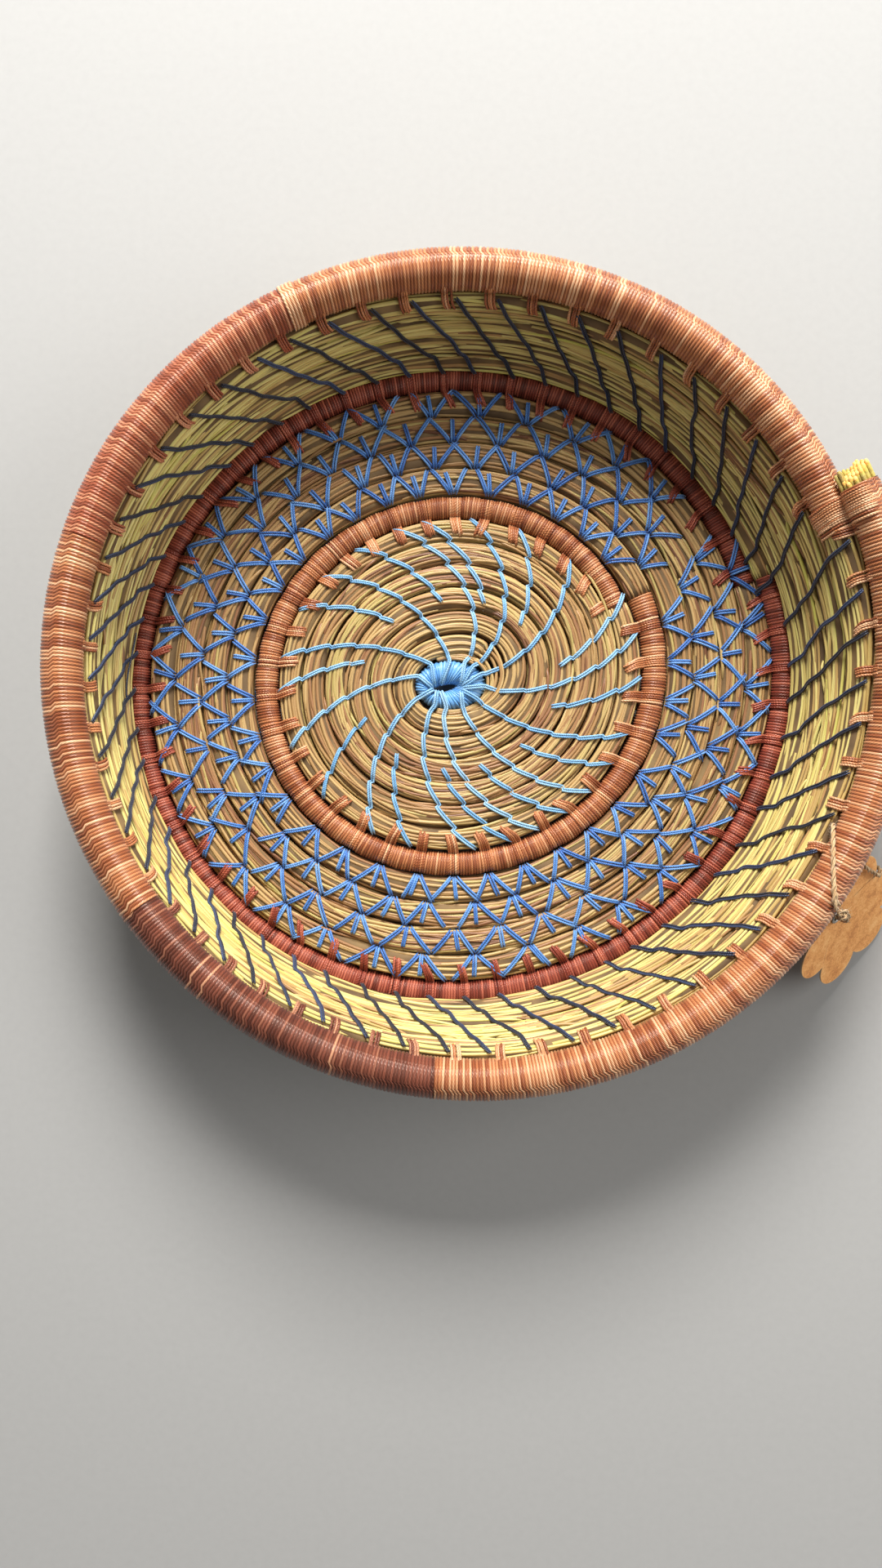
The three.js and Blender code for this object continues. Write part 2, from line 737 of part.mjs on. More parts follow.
function tagCard() {
  const count = tagLobes * tagPointsPerLobe;
  const outline = spread(count, 0, turn / count)
    .map((angle) => new THREE.Vector2(...tagOutlinePoint(angle)));
  const shape = new THREE.Shape(outline);
  const hole = new THREE.Path();
  hole.absarc(0, 0, eyeletBore + eyeletBarrelWall + seatGap, 0, 2 * Math.PI, true);
  shape.holes.push(hole);
  const options = { depth: tagThickness, bevelEnabled: false, curveSegments: eyeletSteps };
  return ontoTag(new THREE.ExtrudeGeometry(shape, options).translate(0, 0, -tagThickness / 2));
}

function tagEyelet() {
  const barrel = eyeletBore + eyeletBarrelWall;
  const seat = tagThickness / 2 + seatGap;
  const face = seat + eyeletFlangeThickness;
  const profile = [
    [eyeletBore, -face], [eyeletFlange, -face], [eyeletFlange, -seat], [barrel, -seat],
    [barrel, seat], [eyeletFlange, seat], [eyeletFlange, face], [eyeletBore, face],
    [eyeletBore, -face],
  ].map(([r, y]) => new THREE.Vector2(r, y));
  const eyelet = new THREE.LatheGeometry(profile, eyeletSteps).rotateX(Math.PI / 2);
  return ontoTag(outwards(mergeVertices(stripped(eyelet), 1e-4)));
}

const parts = new THREE.Group();

function addMesh(name, geometry, colour, roughness, metalness = 0) {
  const material = new THREE.MeshStandardMaterial({ color: colour, roughness, metalness });
  const mesh = new THREE.Mesh(geometry, material);
  mesh.name = name;
  parts.add(mesh);
  return mesh;
}

const needleTan = '#b3945c';
const needleGreen = '#b9a84d';
const copperThread = '#b8744a';
const darkThread = '#6a3326';
const brownThread = '#7d4634';
const skyThread = '#7fb0dc';
const navyThread = '#23273a';
const twineBrown = '#b98a5c';
const kraft = '#a8713f';
const eyeletGrey = '#8c8780';

leastGap('floor_coil', coilStartAngle + turn / stepsPerTurn * 1.5, darkEnd, insetOnFloor);
leastGap('wall_coil', darkEnd, rimStart, () => 0);
addMesh('floor_coil', floorCoil(), needleTan, 0.75);
addMesh('wall_coil', wallCoil(), needleGreen, 0.75);
addMesh('rim_core', rimCore(), needleGreen, 0.75);
addMesh('start_ring_wrap', startRing(), skyThread, 0.55);
addMesh('copper_ring_wrap', wrapWithBridges(
  copperStart, copperEnd, rowSides, stepsPerTurn, copperBridgeWidth, copperPlaces,
), copperThread, 0.5);
addMesh('dark_ring_wrap', wrapWithBridges(
  darkStart, darkEnd, rowSides, stepsPerTurn, darkBridgeWidth, darkPlaces,
), darkThread, 0.5);

const rimNames = ['copper_a', 'brown_a', 'copper_b', 'brown_b', 'copper_c'];
rimStretches.forEach(({ from, to, places }, k) => {
  const start = k === 0 ? from : from + arcAngle(seatGap, rimCentreRadius());
  const colour = rimNames[k].startsWith('copper') ? copperThread : brownThread;
  const wrap = wrapWithBridges(start, to, rimSides, rimSteps, rimBridgeWidth, places);
  addMesh(`rim_wrap_${rimNames[k]}`, wrap, colour, 0.5);
});

addMesh('swirl_stitches', swirlStitches(), skyThread, 0.55);
addMesh('wall_stitches', wallStitches(), navyThread, 0.55);

addMesh('twine_over_rim', twineOverRim(), twineBrown, 0.9);
addMesh('twine_knot', twineKnot(), twineBrown, 0.9);
addMesh('tag_loop', tagLoop(), twineBrown, 0.9);
addMesh('tag_card', tagCard(), kraft, 0.85);
addMesh('tag_eyelet', tagEyelet(), eyeletGrey, 0.4, 0.8);

// Bring the middle of the basket itself, without the tag and its twine, onto the axis
const hung = /^(twine|tag)_/;
const extent = new THREE.Box3();
parts.children.filter((mesh) => !hung.test(mesh.name)).forEach((mesh) => {
  extent.expandByObject(mesh);
});
const middle = extent.getCenter(new THREE.Vector3());
parts.children.forEach((mesh) => {
  mesh.geometry.translate(-middle.x, -middle.y, -extent.min.z);
});

export default parts;
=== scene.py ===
"""Coiled pine needle basket with a scalloped kraft tag on jute twine.

Every shape is worked out in millimetres, in the part's frame, from one spiral: the bundle of needles
runs out from the middle as the floor, climbs as the wall and ends in the wrapped rim. A turn of the
coil is 360 degrees of "coil angle". In the bundle's own section "across" points towards the next row
and "up" towards the inside of the bowl. A face of 1 is the inside of the basket, and -1 the outside.
"""
import bpy
import numpy as np
from mathutils import Matrix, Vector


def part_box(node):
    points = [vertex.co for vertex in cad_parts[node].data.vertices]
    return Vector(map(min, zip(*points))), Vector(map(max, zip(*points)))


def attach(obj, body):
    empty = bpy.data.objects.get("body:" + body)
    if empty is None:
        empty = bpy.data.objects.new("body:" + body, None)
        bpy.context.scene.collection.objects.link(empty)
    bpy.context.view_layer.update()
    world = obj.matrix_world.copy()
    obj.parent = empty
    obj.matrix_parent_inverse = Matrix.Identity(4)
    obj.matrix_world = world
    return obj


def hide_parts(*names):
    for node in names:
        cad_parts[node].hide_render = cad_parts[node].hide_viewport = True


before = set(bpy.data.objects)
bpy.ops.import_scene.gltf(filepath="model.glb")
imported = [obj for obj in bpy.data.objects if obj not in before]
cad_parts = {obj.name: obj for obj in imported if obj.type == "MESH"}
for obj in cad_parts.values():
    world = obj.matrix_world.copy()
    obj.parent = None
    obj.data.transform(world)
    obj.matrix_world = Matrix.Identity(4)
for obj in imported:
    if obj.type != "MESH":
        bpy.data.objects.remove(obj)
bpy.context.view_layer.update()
chance = np.random.default_rng(11)
METRES = 0.001
TURN = 360.0

# Sizes of the coil, as in the part's source
INNER_HALF_WIDTH = 3.42
OUTER_HALF_WIDTH = 3.92
ROW_HALF_HEIGHT = 4.0
RIM_RADIUS = 5.65
RIM_END_RADIUS = 5.0
ROW_GAP = 0.56
INNER_PITCH = 2 * INNER_HALF_WIDTH + ROW_GAP
OUTER_PITCH = 2 * OUTER_HALF_WIDTH + ROW_GAP
COPPER_RING_RADIUS = 55.768
OVAL, OVAL_ANGLE = 1.89, 19.0
STACK_LEANS = np.array([0, 46, 73.8, 74.8, 74.8, 61, 60.0])
SIDE_LEAN, SIDE_LEAN_ANGLE = 7.1, 3.0
OVAL_LEAN, OVAL_LEAN_ANGLE = 3.1, -61.0
STEP_ANGLE, STEP_HALF_WIDTH = 8.0, 30.0
AXIS_SHIFT = np.array([7.0441, -1.8405, 0.0])

# Rows, one a turn, and the turns of the wrapped ones
INNER_ROWS, OUTER_ROWS, WALL_ROWS = 6, 4, 4
COPPER_TURN = INNER_ROWS
DARK_TURN = COPPER_TURN + 1 + OUTER_ROWS
RIM_TURN = DARK_TURN + 1 + WALL_ROWS

# Coil angles at which the coil's stretches begin and end
COIL_START = 28.0
COPPER_START = COPPER_TURN * TURN + 24
COPPER_END = COPPER_START + TURN
DARK_START = DARK_TURN * TURN + 18
DARK_END = DARK_START + TURN
RIM_START_ANGLE = 22
RIM_START, RIM_END = RIM_TURN * TURN + RIM_START_ANGLE, (RIM_TURN + 1) * TURN + 24
RIM_COLOUR_ANGLES = np.array([114.5, 161, 217.5, 267])

# Radius of a needle and of a stitch thread, and the height of a thread's middle over the needles
NEEDLE = 0.56
THREAD = 0.36
LYING = 0.30
# Spacing of a wrap's strands. It is 0.7 to 0.9 mm on the real basket, too fine for the render, and is
# drawn a little coarser.
RIM_STRAND, COPPER_STRAND, DARK_STRAND = 1.05, 0.9, 0.92
COPPER_TABS, DARK_TABS, RIM_TAB_PITCH = 34, 56, 6.4
# Exponents of the sections: floor rows, wall rows and wraps
FLOOR_BOXY, WALL_BOXY = 4.0, 5.0
ROUND = 2.2
# The needles reach this far over the rows' nominal width, into the gap between two rows
FLOOR_SNUG, WALL_SNUG = 0.22, 0.28
# Where the coil begins it is this share of its thickness, and lies this far further in
THINNEST, START_TUCK = 0.3, 1.1
# Over a groove a thread sinks no lower than these shares of the rows' half height
FAN_SINK, SWIRL_SINK, WALL_SINK = 0.5, 0.62, 0.88
# The rim's wrap is drawn this much thicker, so that no light shows between it and the row below
RIM_SWELL = 0.3


def smooth(x):
    """Smooth step: 3x^2 - 2x^3 between 0 and 1."""
    x = np.clip(x, 0, 1)
    return x * x * (3 - 2 * x)


def stack_place(coil):
    """Height on the stack of wall rows: whole numbers, with one smooth step a turn."""
    t = (coil - STEP_ANGLE) / TURN
    near = np.round(t)
    return near - 1 + smooth((t - near) * TURN / (2 * STEP_HALF_WIDTH) + 0.5) - DARK_TURN


def lean_at(place, coil):
    """Lean of one row over the row below, in radians: between two rows it is shared evenly, and it is less
    on the side that the wall leans out to, by a cosine of the azimuth and one of twice the azimuth."""
    place = np.maximum(place, 0)
    top = len(STACK_LEANS) - 1
    low = np.minimum(np.floor(place).astype(int), top)
    share = np.where(low == 0, smooth(place), np.clip(place - low, 0, 1))
    base = STACK_LEANS[low] + (STACK_LEANS[np.minimum(low + 1, top)] - STACK_LEANS[low]) * share
    aside = SIDE_LEAN * np.cos(np.radians(coil - SIDE_LEAN_ANGLE))
    oval = OVAL_LEAN * np.cos(2 * np.radians(coil - OVAL_LEAN_ANGLE))
    return np.radians(base - (aside + oval) * smooth(place))


def stack_half_width(place):
    """Half width of the bundle on the stack: it swells into the rim and thins at the rim's end."""
    swell = OUTER_HALF_WIDTH + (RIM_RADIUS - OUTER_HALF_WIDTH) * np.clip(place - WALL_ROWS, 0, 1)
    thin = RIM_RADIUS + (RIM_END_RADIUS - RIM_RADIUS) * np.clip(place - WALL_ROWS - 1, 0, 1)
    return np.where(place < WALL_ROWS + 1, swell, thin)


def half_width(coil):
    """Half width of the bundle: it grows along the copper ring from the inner rows' to the outer rows'."""
    place = stack_place(coil)
    grown = np.clip((coil - COPPER_START) / TURN, 0, 1)
    floor = INNER_HALF_WIDTH + (OUTER_HALF_WIDTH - INNER_HALF_WIDTH) * grown
    return np.where(place > 0, stack_half_width(place), floor)


def half_height(coil):
    """Half height of the bundle: the rows' until the rim, where it swells as the width does."""
    swell = np.clip((half_width(coil) - OUTER_HALF_WIDTH) / (RIM_RADIUS - OUTER_HALF_WIDTH), 0, 1)
    swollen = ROW_HALF_HEIGHT + (RIM_RADIUS - ROW_HALF_HEIGHT) * swell
    return np.where(coil > DARK_END, swollen, ROW_HALF_HEIGHT)


def boxiness(coil):
    """Exponent of the bundle's section: wall rows lie flatter against each other than floor rows."""
    return np.where(coil > DARK_END, WALL_BOXY, FLOOR_BOXY)


def on_coil(coil, across, up):
    """Point of the coil's section. On the floor the radius grows evenly with the coil angle. On the wall
    each row adds its spacing along its lean. (across, up) are turned by the mean lean of the two rows."""
    coil, across, up = np.broadcast_arrays(*(np.asarray(x, float) for x in (coil, across, up)))
    place = stack_place(coil)
    along = (coil - COPPER_START) / TURN
    radius = COPPER_RING_RADIUS + along * np.where(along < 0, INNER_PITCH, OUTER_PITCH)
    radius = radius + OVAL * np.cos(2 * np.radians(coil - OVAL_ANGLE))
    out, rise, left = np.zeros(coil.shape), np.zeros(coil.shape), place.copy()
    for _ in STACK_LEANS:
        on = left > 0
        spacing = stack_half_width(left - 1) + stack_half_width(left) + ROW_GAP
        lean = lean_at(left, coil)
        out = np.where(on, out + spacing * np.cos(lean), out)
        rise = np.where(on, rise + spacing * np.sin(lean), rise)
        left = np.where(on, left - 1, left)
    radius = np.where(place > 0, radius + out + (left - place) * OUTER_PITCH, radius)
    base = np.maximum(place, 1)
    mean_lean = (lean_at(base, coil) + lean_at(base + 1, coil)) / 2
    turned = np.where(place > 0, mean_lean * smooth(place), 0)
    r = radius + across * np.cos(turned) - up * np.sin(turned)
    z = ROW_HALF_HEIGHT + rise + across * np.sin(turned) + up * np.cos(turned)
    return np.stack([r * np.cos(np.radians(coil)), r * np.sin(np.radians(coil)), z], -1) - AXIS_SHIFT


def coil_radius(coil):
    """Distance of the bundle's middle from the spiral's own axis."""
    point = on_coil(coil, 0, 0) + AXIS_SHIFT
    return np.hypot(point[..., 0], point[..., 1])


def degrees_for(length, coil):
    """Coil angle that spans a length in millimetres there."""
    return np.degrees(length / coil_radius(coil))


def stations(start, end, spacing):
    """Coil angles about a spacing apart along the coil, never more than 5 degrees apart."""
    fine = np.linspace(start, end, max(16, int((end - start) / 2)))
    density = np.maximum(np.radians(1) * coil_radius(fine) / spacing, 1 / 5)
    count = np.concatenate([[0], np.cumsum((density[1:] + density[:-1]) / 2 * np.diff(fine))])
    return np.interp(np.linspace(0, count[-1], int(np.ceil(count[-1])) + 1), count, fine)


def around_coil(coil):
    """Direction in which the coil angle grows."""
    return np.stack([-np.sin(np.radians(coil)), np.cos(np.radians(coil)), 0 * coil], -1)


def off_face(coil):
    """Direction straight out of the inside face of the rows there."""
    return unit(on_coil(coil, 0, 1) - on_coil(coil, 0, 0))


def settled(coil, up, face):
    """On the outside face of the floor a thread is drawn into the needles, so that the basket stands flat."""
    return np.where((face < 0) & (coil < DARK_END), np.minimum(up, half_height(coil) - THREAD), up)


# Meshes

def mesh_piece(name, skin, material, body, replaces=()):
    """One object from whole arrays: points in millimetres, faces, a UV for each face corner, and a tone
    for each point that the materials vary their colour with. Nothing goes below the table."""
    points, quads, tris, uvs, tone = skin
    points = np.column_stack([points[:, :2], np.maximum(points[:, 2], 0)])
    mesh = bpy.data.meshes.new(name)
    corners = np.concatenate([quads.ravel(), tris.ravel()]).astype(np.int32)
    sizes = np.concatenate([np.full(len(quads), 4), np.full(len(tris), 3)])
    starts = np.concatenate([[0], np.cumsum(sizes)[:-1]]).astype(np.int32)
    mesh.vertices.add(len(points))
    mesh.vertices.foreach_set("co", (points * METRES).astype(np.float32).ravel())
    mesh.loops.add(len(corners))
    mesh.loops.foreach_set("vertex_index", corners)
    mesh.polygons.add(len(sizes))
    mesh.polygons.foreach_set("loop_start", starts)
    mesh.polygons.foreach_set("use_smooth", np.ones(len(sizes), bool))
    layer = mesh.uv_layers.new(name="UVMap")
    layer.data.foreach_set("uv", uvs.astype(np.float32).ravel())
    attribute = mesh.attributes.new("tone", "FLOAT", "POINT")
    attribute.data.foreach_set("value", np.broadcast_to(tone, len(points)).astype(np.float32))
    mesh.update(calc_edges=True)
    piece = bpy.data.objects.new(name, mesh)
    bpy.context.scene.collection.objects.link(piece)
    mesh.materials.append(material)
    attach(piece, body)
    if replaces:
        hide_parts(replaces)
    return piece


def skins(rings, tone=0.0, capped=True):
    """Closed skins through rings of points: rings is (skins, rings, points round, 3), with the points of
    a ring anticlockwise seen along the skin. Each end closes on a fan round its middle. The UV is the
    length along in centimetres and the share of the way round."""
    count, along, around, _ = rings.shape
    index = np.arange(count * along * around).reshape(count, along, around)
    after = np.roll(index, -1, axis=2)
    quads = np.stack([index[:, :-1], after[:, :-1], after[:, 1:], index[:, 1:]], -1).reshape(-1, 4)
    middles = rings.mean(2)
    lengths = np.linalg.norm(np.diff(middles, axis=1), axis=2)
    u = np.concatenate([np.zeros((count, 1)), np.cumsum(lengths, axis=1)], 1) / 10
    u = np.broadcast_to(u[:, :, None], index.shape)
    v = np.broadcast_to(np.arange(around) / around, index.shape)
    near = np.stack([np.stack([u[:, :-1], v[:, :-1] + k / around], -1) for k in (0, 1)], 3)
    far = np.stack([np.stack([u[:, 1:], v[:, 1:] + k / around], -1) for k in (1, 0)], 3)
    quad_uv = np.concatenate([near, far], 3).reshape(-1, 2)
    points = rings.reshape(-1, 3)
    ends = np.broadcast_to(tone, (count, along))
    tones = np.broadcast_to(ends[:, :, None], index.shape).reshape(-1)
    tris, tri_uv = np.zeros((0, 3), int), np.zeros((0, 2))
    if capped:
        first = len(points) + np.arange(count)[:, None]
        last = first + count
        points = np.concatenate([points, middles[:, 0], middles[:, -1]])
        start = np.stack([np.broadcast_to(first, (count, around)), after[:, 0], index[:, 0]], -1)
        end = np.stack([np.broadcast_to(last, (count, around)), index[:, -1], after[:, -1]], -1)
        tris = np.concatenate([start.reshape(-1, 3), end.reshape(-1, 3)])
        tri_uv = np.tile([[0.0, 0.5], [0.0, 0.0], [0.05, 0.0]], (len(tris), 1))
        tones = np.concatenate([tones, ends[:, 0], ends[:, -1]])
    return points, quads, tris, np.concatenate([quad_uv, tri_uv]), tones


def join(*parts):
    """Several skins as one set of arrays, with the faces' numbers moved on by the points before them."""
    bases = np.cumsum([0] + [len(part[0]) for part in parts[:-1]])
    quads = np.concatenate([part[1] + base for part, base in zip(parts, bases)])
    tris = np.concatenate([part[2] + base for part, base in zip(parts, bases)])
    uvs = [part[3][:len(part[1]) * 4] for part in parts] + [part[3][len(part[1]) * 4:] for part in parts]
    points = np.concatenate([part[0] for part in parts])
    return points, quads, tris, np.concatenate(uvs), np.concatenate([part[4] for part in parts])


def unit(v):
    """Directions: each vector over its length."""
    return v / np.maximum(np.linalg.norm(v, axis=-1, keepdims=True), 1e-9)


def cords(paths, radius, side, sides=6, tone=0.0):
    """Round cords along paths (cords, points, 3): rings of the radius square to the path, from a side
    direction given for each point, with the ends drawn in."""
    along = unit(np.gradient(paths, axis=1))
    b = unit(np.cross(along, side))
    n = np.cross(b, along)
    phi = np.arange(sides) / sides * 2 * np.pi
    radius = np.broadcast_to(radius, paths.shape[:2]).copy()
    radius[:, [0, -1]] *= 0.6
    ring = n[:, :, None] * np.cos(phi)[:, None] + b[:, :, None] * np.sin(phi)[:, None]
    return skins(paths[:, :, None] + radius[:, :, None, None] * ring, tone)


def through(points, count):
    """Smooth curve (Catmull-Rom) through points (curves, points, 3), sampled evenly."""
    before, beyond = 2 * points[:, :1] - points[:, 1:2], 2 * points[:, -1:] - points[:, -2:-1]
    ends = np.concatenate([before, points, beyond], 1)
    t = np.linspace(0, points.shape[1] - 1 - 1e-9, count)
    k = t.astype(int)
    f = (t - k)[None, :, None]
    a, b, c, d = (ends[:, k + j] for j in range(4))
    square, cube = (2 * a - 5 * b + 4 * c - d) * f ** 2, (3 * b - a - 3 * c + d) * f ** 3
    return 0.5 * (2 * b + (c - a) * f + square + cube)


def softened(paths):
    """Paths with each inner point moved to a quarter, a half and a quarter of itself and its neighbours."""
    inner = (paths[:, :-2] + 2 * paths[:, 1:-1] + paths[:, 2:]) / 4
    return np.concatenate([paths[:, :1], inner, paths[:, -1:]], 1)


def section(phi, width, height, roundness):
    """Superellipse |x/width|^n + |y/height|^n = 1 at an angle: n = 2 is round, more is boxier."""
    c, s = np.cos(phi), np.sin(phi)
    r = (np.abs(c) ** roundness + np.abs(s) ** roundness) ** (-1 / roundness)
    return width * r * c, height * r * s


def crown(across, width, height, roundness):
    """Height of that superellipse over a place across it."""
    return height * np.clip(1 - np.abs(across / width) ** roundness, 0, 1) ** (1 / roundness)


def sideways(path):
    """The same upward direction for every point of a path."""
    return np.broadcast_to([0.0, 0.0, 1.0], path.shape)


# Materials

def linear(code):
    """sRGB hex to linear colour."""
    c = np.array([int(code[k:k + 2], 16) for k in (1, 3, 5)]) / 255
    return (*np.where(c <= 0.04045, c / 12.92, ((c + 0.055) / 1.055) ** 2.4), 1.0)


def add(tree, kind, links=(), **settings):
    """Adds one node: settings are its properties or else its inputs, links are (input, output socket)."""
    node = tree.nodes.new("ShaderNode" + kind)
    for key, value in settings.items():
        if hasattr(node, key):
            setattr(node, key, value)
        else:
            node.inputs[key.replace("_", " ")].default_value = value
    for key, socket in links:
        tree.links.new(node.inputs[key], socket)
    return node


def new_tree(name):
    """A named material with an empty node tree."""
    material = bpy.data.materials.new(name)
    material.use_nodes = True
    material.node_tree.nodes.clear()
    return material, material.node_tree


def ramp(tree, factor, stops):
    """Colour ramp with stops (place, hex)."""
    node = add(tree, "ValToRGB", [("Fac", factor)])
    elements = node.color_ramp.elements
    while len(elements) < len(stops):
        elements.new(0.5)
    for element, (place, code) in zip(elements, stops):
        element.position = place
        element.color = linear(code)
    return node.outputs["Color"]


def shifted(tree, tone, noise, fade):
    """The tone plus fade times the noise's distance from a half."""
    scaled = add(tree, "Math", [(0, noise)], operation="MULTIPLY_ADD")
    scaled.inputs[1].default_value, scaled.inputs[2].default_value = fade, -fade / 2
    return add(tree, "Math", [(0, tone), (1, scaled.outputs[0])], operation="ADD").outputs[0]


def fibre(name, stops, streak, twist, rough, bump, fade=0.35, sheen=0.0, coat=0.0, shine="#ffffff"):
    """Plant fibre or thread. The tone of a needle or strand picks its colour on the ramp, and streaks
    along it, so many to the centimetre, shift that a little. A twist in turns to the centimetre shows
    as two slanting plies, whose hollows are darkened in the colour as painted shade. The relief is 0.3 mm
    deep at a bump of 1. The shine is the tint of what the thread's wax reflects."""
    material, tree = new_tree(name)
    uv = add(tree, "UVMap", uv_map="UVMap").outputs["UV"]
    tone = add(tree, "Attribute", attribute_name="tone").outputs["Fac"]
    drawn = add(tree, "Mapping", [("Vector", uv)], Scale=(streak, 3.0, 1.0)).outputs["Vector"]
    noise = add(tree, "TexNoise", [("Vector", drawn)], Scale=1.0, Detail=4.0, Roughness=0.6).outputs["Fac"]
    colour = ramp(tree, shifted(tree, tone, noise, fade), stops)
    height = noise
    if twist:
        slant = (0, 0, np.arctan2(1, twist))
        turned = add(tree, "Mapping", [("Vector", uv)], Rotation=slant).outputs["Vector"]
        two_plies = np.hypot(1, twist) * np.pi / 5
        height = add(tree, "TexWave", [("Vector", turned)], wave_type="BANDS", bands_direction="X",
                     Scale=two_plies, Distortion=0.3, Detail=1.0).outputs["Fac"]
        # Painted shade: the colour is darkened to 0.7 in the plies' hollows
        shade = add(tree, "MapRange", [("Value", height)], To_Min=0.7).outputs[0]
        colour = add(tree, "VectorMath", [(0, colour), (1, shade)], operation="MULTIPLY").outputs[0]
    relief = add(tree, "Bump", [("Height", height)], Strength=bump, Distance=0.0003).outputs["Normal"]
    shader = add(tree, "BsdfPrincipled", [("Base Color", colour), ("Normal", relief)], Roughness=rough,
                 Sheen_Weight=sheen, Coat_Weight=coat, Coat_Roughness=0.3, Specular_Tint=linear(shine))
    add(tree, "OutputMaterial", [("Surface", shader.outputs[0])])
    return material


# Dried pine needles: straw, olive and brown streaks along each needle, with a slight natural wax
tan_needles = fibre(
    "dried_pine_needles_tan",
    [(0.0, "#643e28"), (0.14, "#926542"), (0.4, "#a6804f"), (0.72, "#c09f68"), (1.0, "#b09d5b")],
    0.6, 0, 0.46, 0.3)
green_needles = fibre(
    "dried_pine_needles_green",
    [(0.0, "#7c5330"), (0.14, "#ae8450"), (0.45, "#c6b066"), (0.75, "#dccb7e"), (1.0, "#c2ba58")],
    0.6, 0, 0.44, 0.3)
# The needles under the outer ones, which the light hardly reaches
shade_between = fibre(
    "bundle_heart_in_shade", [(0.0, "#4a3722"), (0.5, "#705737"), (1.0, "#8f7346")],
    0.6, 0, 0.8, 0.3, 0.8)
# Torn needle ends: pale orange pith in a straw skin
cut_needles = fibre(
    "torn_needle_ends",
    [(0.0, "#8b6a34"), (0.3, "#b7a45a"), (0.5, "#c6b552"), (0.75, "#dba34a"), (1.0, "#f2cb78")],
    9.0, 0, 0.75, 0.9, 0.5)
# Waxed polyester thread, two plies twisted: a satin shine that breaks up on every strand
copper_thread = fibre(
    "waxed_thread_copper", [(0.0, "#441a0d"), (0.35, "#9a5230"), (0.7, "#d18857"), (1.0, "#f4c396")],
    1.2, 6, 0.3, 0.35, 0.3, 0.05, 0.3, "#ffe2c4")
dark_thread = fibre(
    "waxed_thread_dark_red", [(0.0, "#380f0b"), (0.5, "#94402f"), (1.0, "#cb7155")],
    1.2, 6, 0.34, 0.35, 0.4, 0.05, 0.15, "#ffd8c0")
red_brown_thread = fibre(
    "waxed_thread_red_brown", [(0.0, "#4c1c12"), (0.55, "#ac5a3c"), (1.0, "#e8a379")],
    1.2, 6, 0.32, 0.35, 0.4, 0.05, 0.15, "#ffd8b8")
# Its ramp's light end also colours the rim's painted glint strands
deep_brown_thread = fibre(
    "waxed_thread_deep_brown", [(0.0, "#33130d"), (0.6, "#8b4c38"), (1.0, "#d79b74")],
    1.2, 6, 0.32, 0.35, 0.4, 0.05, 0.2, "#ffdcc4")
sky_thread = fibre(
    "waxed_thread_sky_blue", [(0.0, "#5b96c9"), (0.5, "#7db4dd"), (1.0, "#a3cde9")],
    1.2, 7, 0.4, 0.3, 0.4, 0.2)
# The same sky blue thread as the swirl, with a deeper, more saturated ramp for the start ring: painted shade
# and bounce light between its tightly wound strands
ring_thread = fibre(
    "waxed_thread_sky_blue_wound_painted_shade", [(0.0, "#3176be"), (0.5, "#6cade8"), (1.0, "#a0d0f4")],
    1.2, 7, 0.36, 0.35, 0.3, 0.2, 0.2)
cobalt_thread = fibre(
    "waxed_thread_cobalt", [(0.0, "#2f60ad"), (0.5, "#4c85cf"), (1.0, "#72a6e2")],
    1.2, 7, 0.4, 0.3, 0.4, 0.2)
navy_thread = fibre(
    "waxed_thread_navy", [(0.0, "#11141f"), (0.5, "#1c2438"), (1.0, "#30436a")],
    1.2, 7, 0.4, 0.35, 0.4, 0.2)
# Soft two-ply jute: matt, hairy and uneven
jute = fibre(
    "two_ply_jute_twine", [(0.0, "#a0743f"), (0.5, "#cba270"), (1.0, "#ecd0a2")],
    3.0, 1.6, 0.85, 0.8, 0.7, 0.3)


# Needles

def waves(count, length, low, high, shortest, longest):
    """Slow waves along each needle: sines of two or three lengths with their own heights and starts."""
    size = chance.uniform(low, high, (3, count, 1))
    pitch = chance.uniform(shortest, longest, (3, count, 1))
    return (size * np.sin(2 * np.pi * length / pitch + chance.uniform(0, 2 * np.pi, (3, count, 1)))).sum(0)


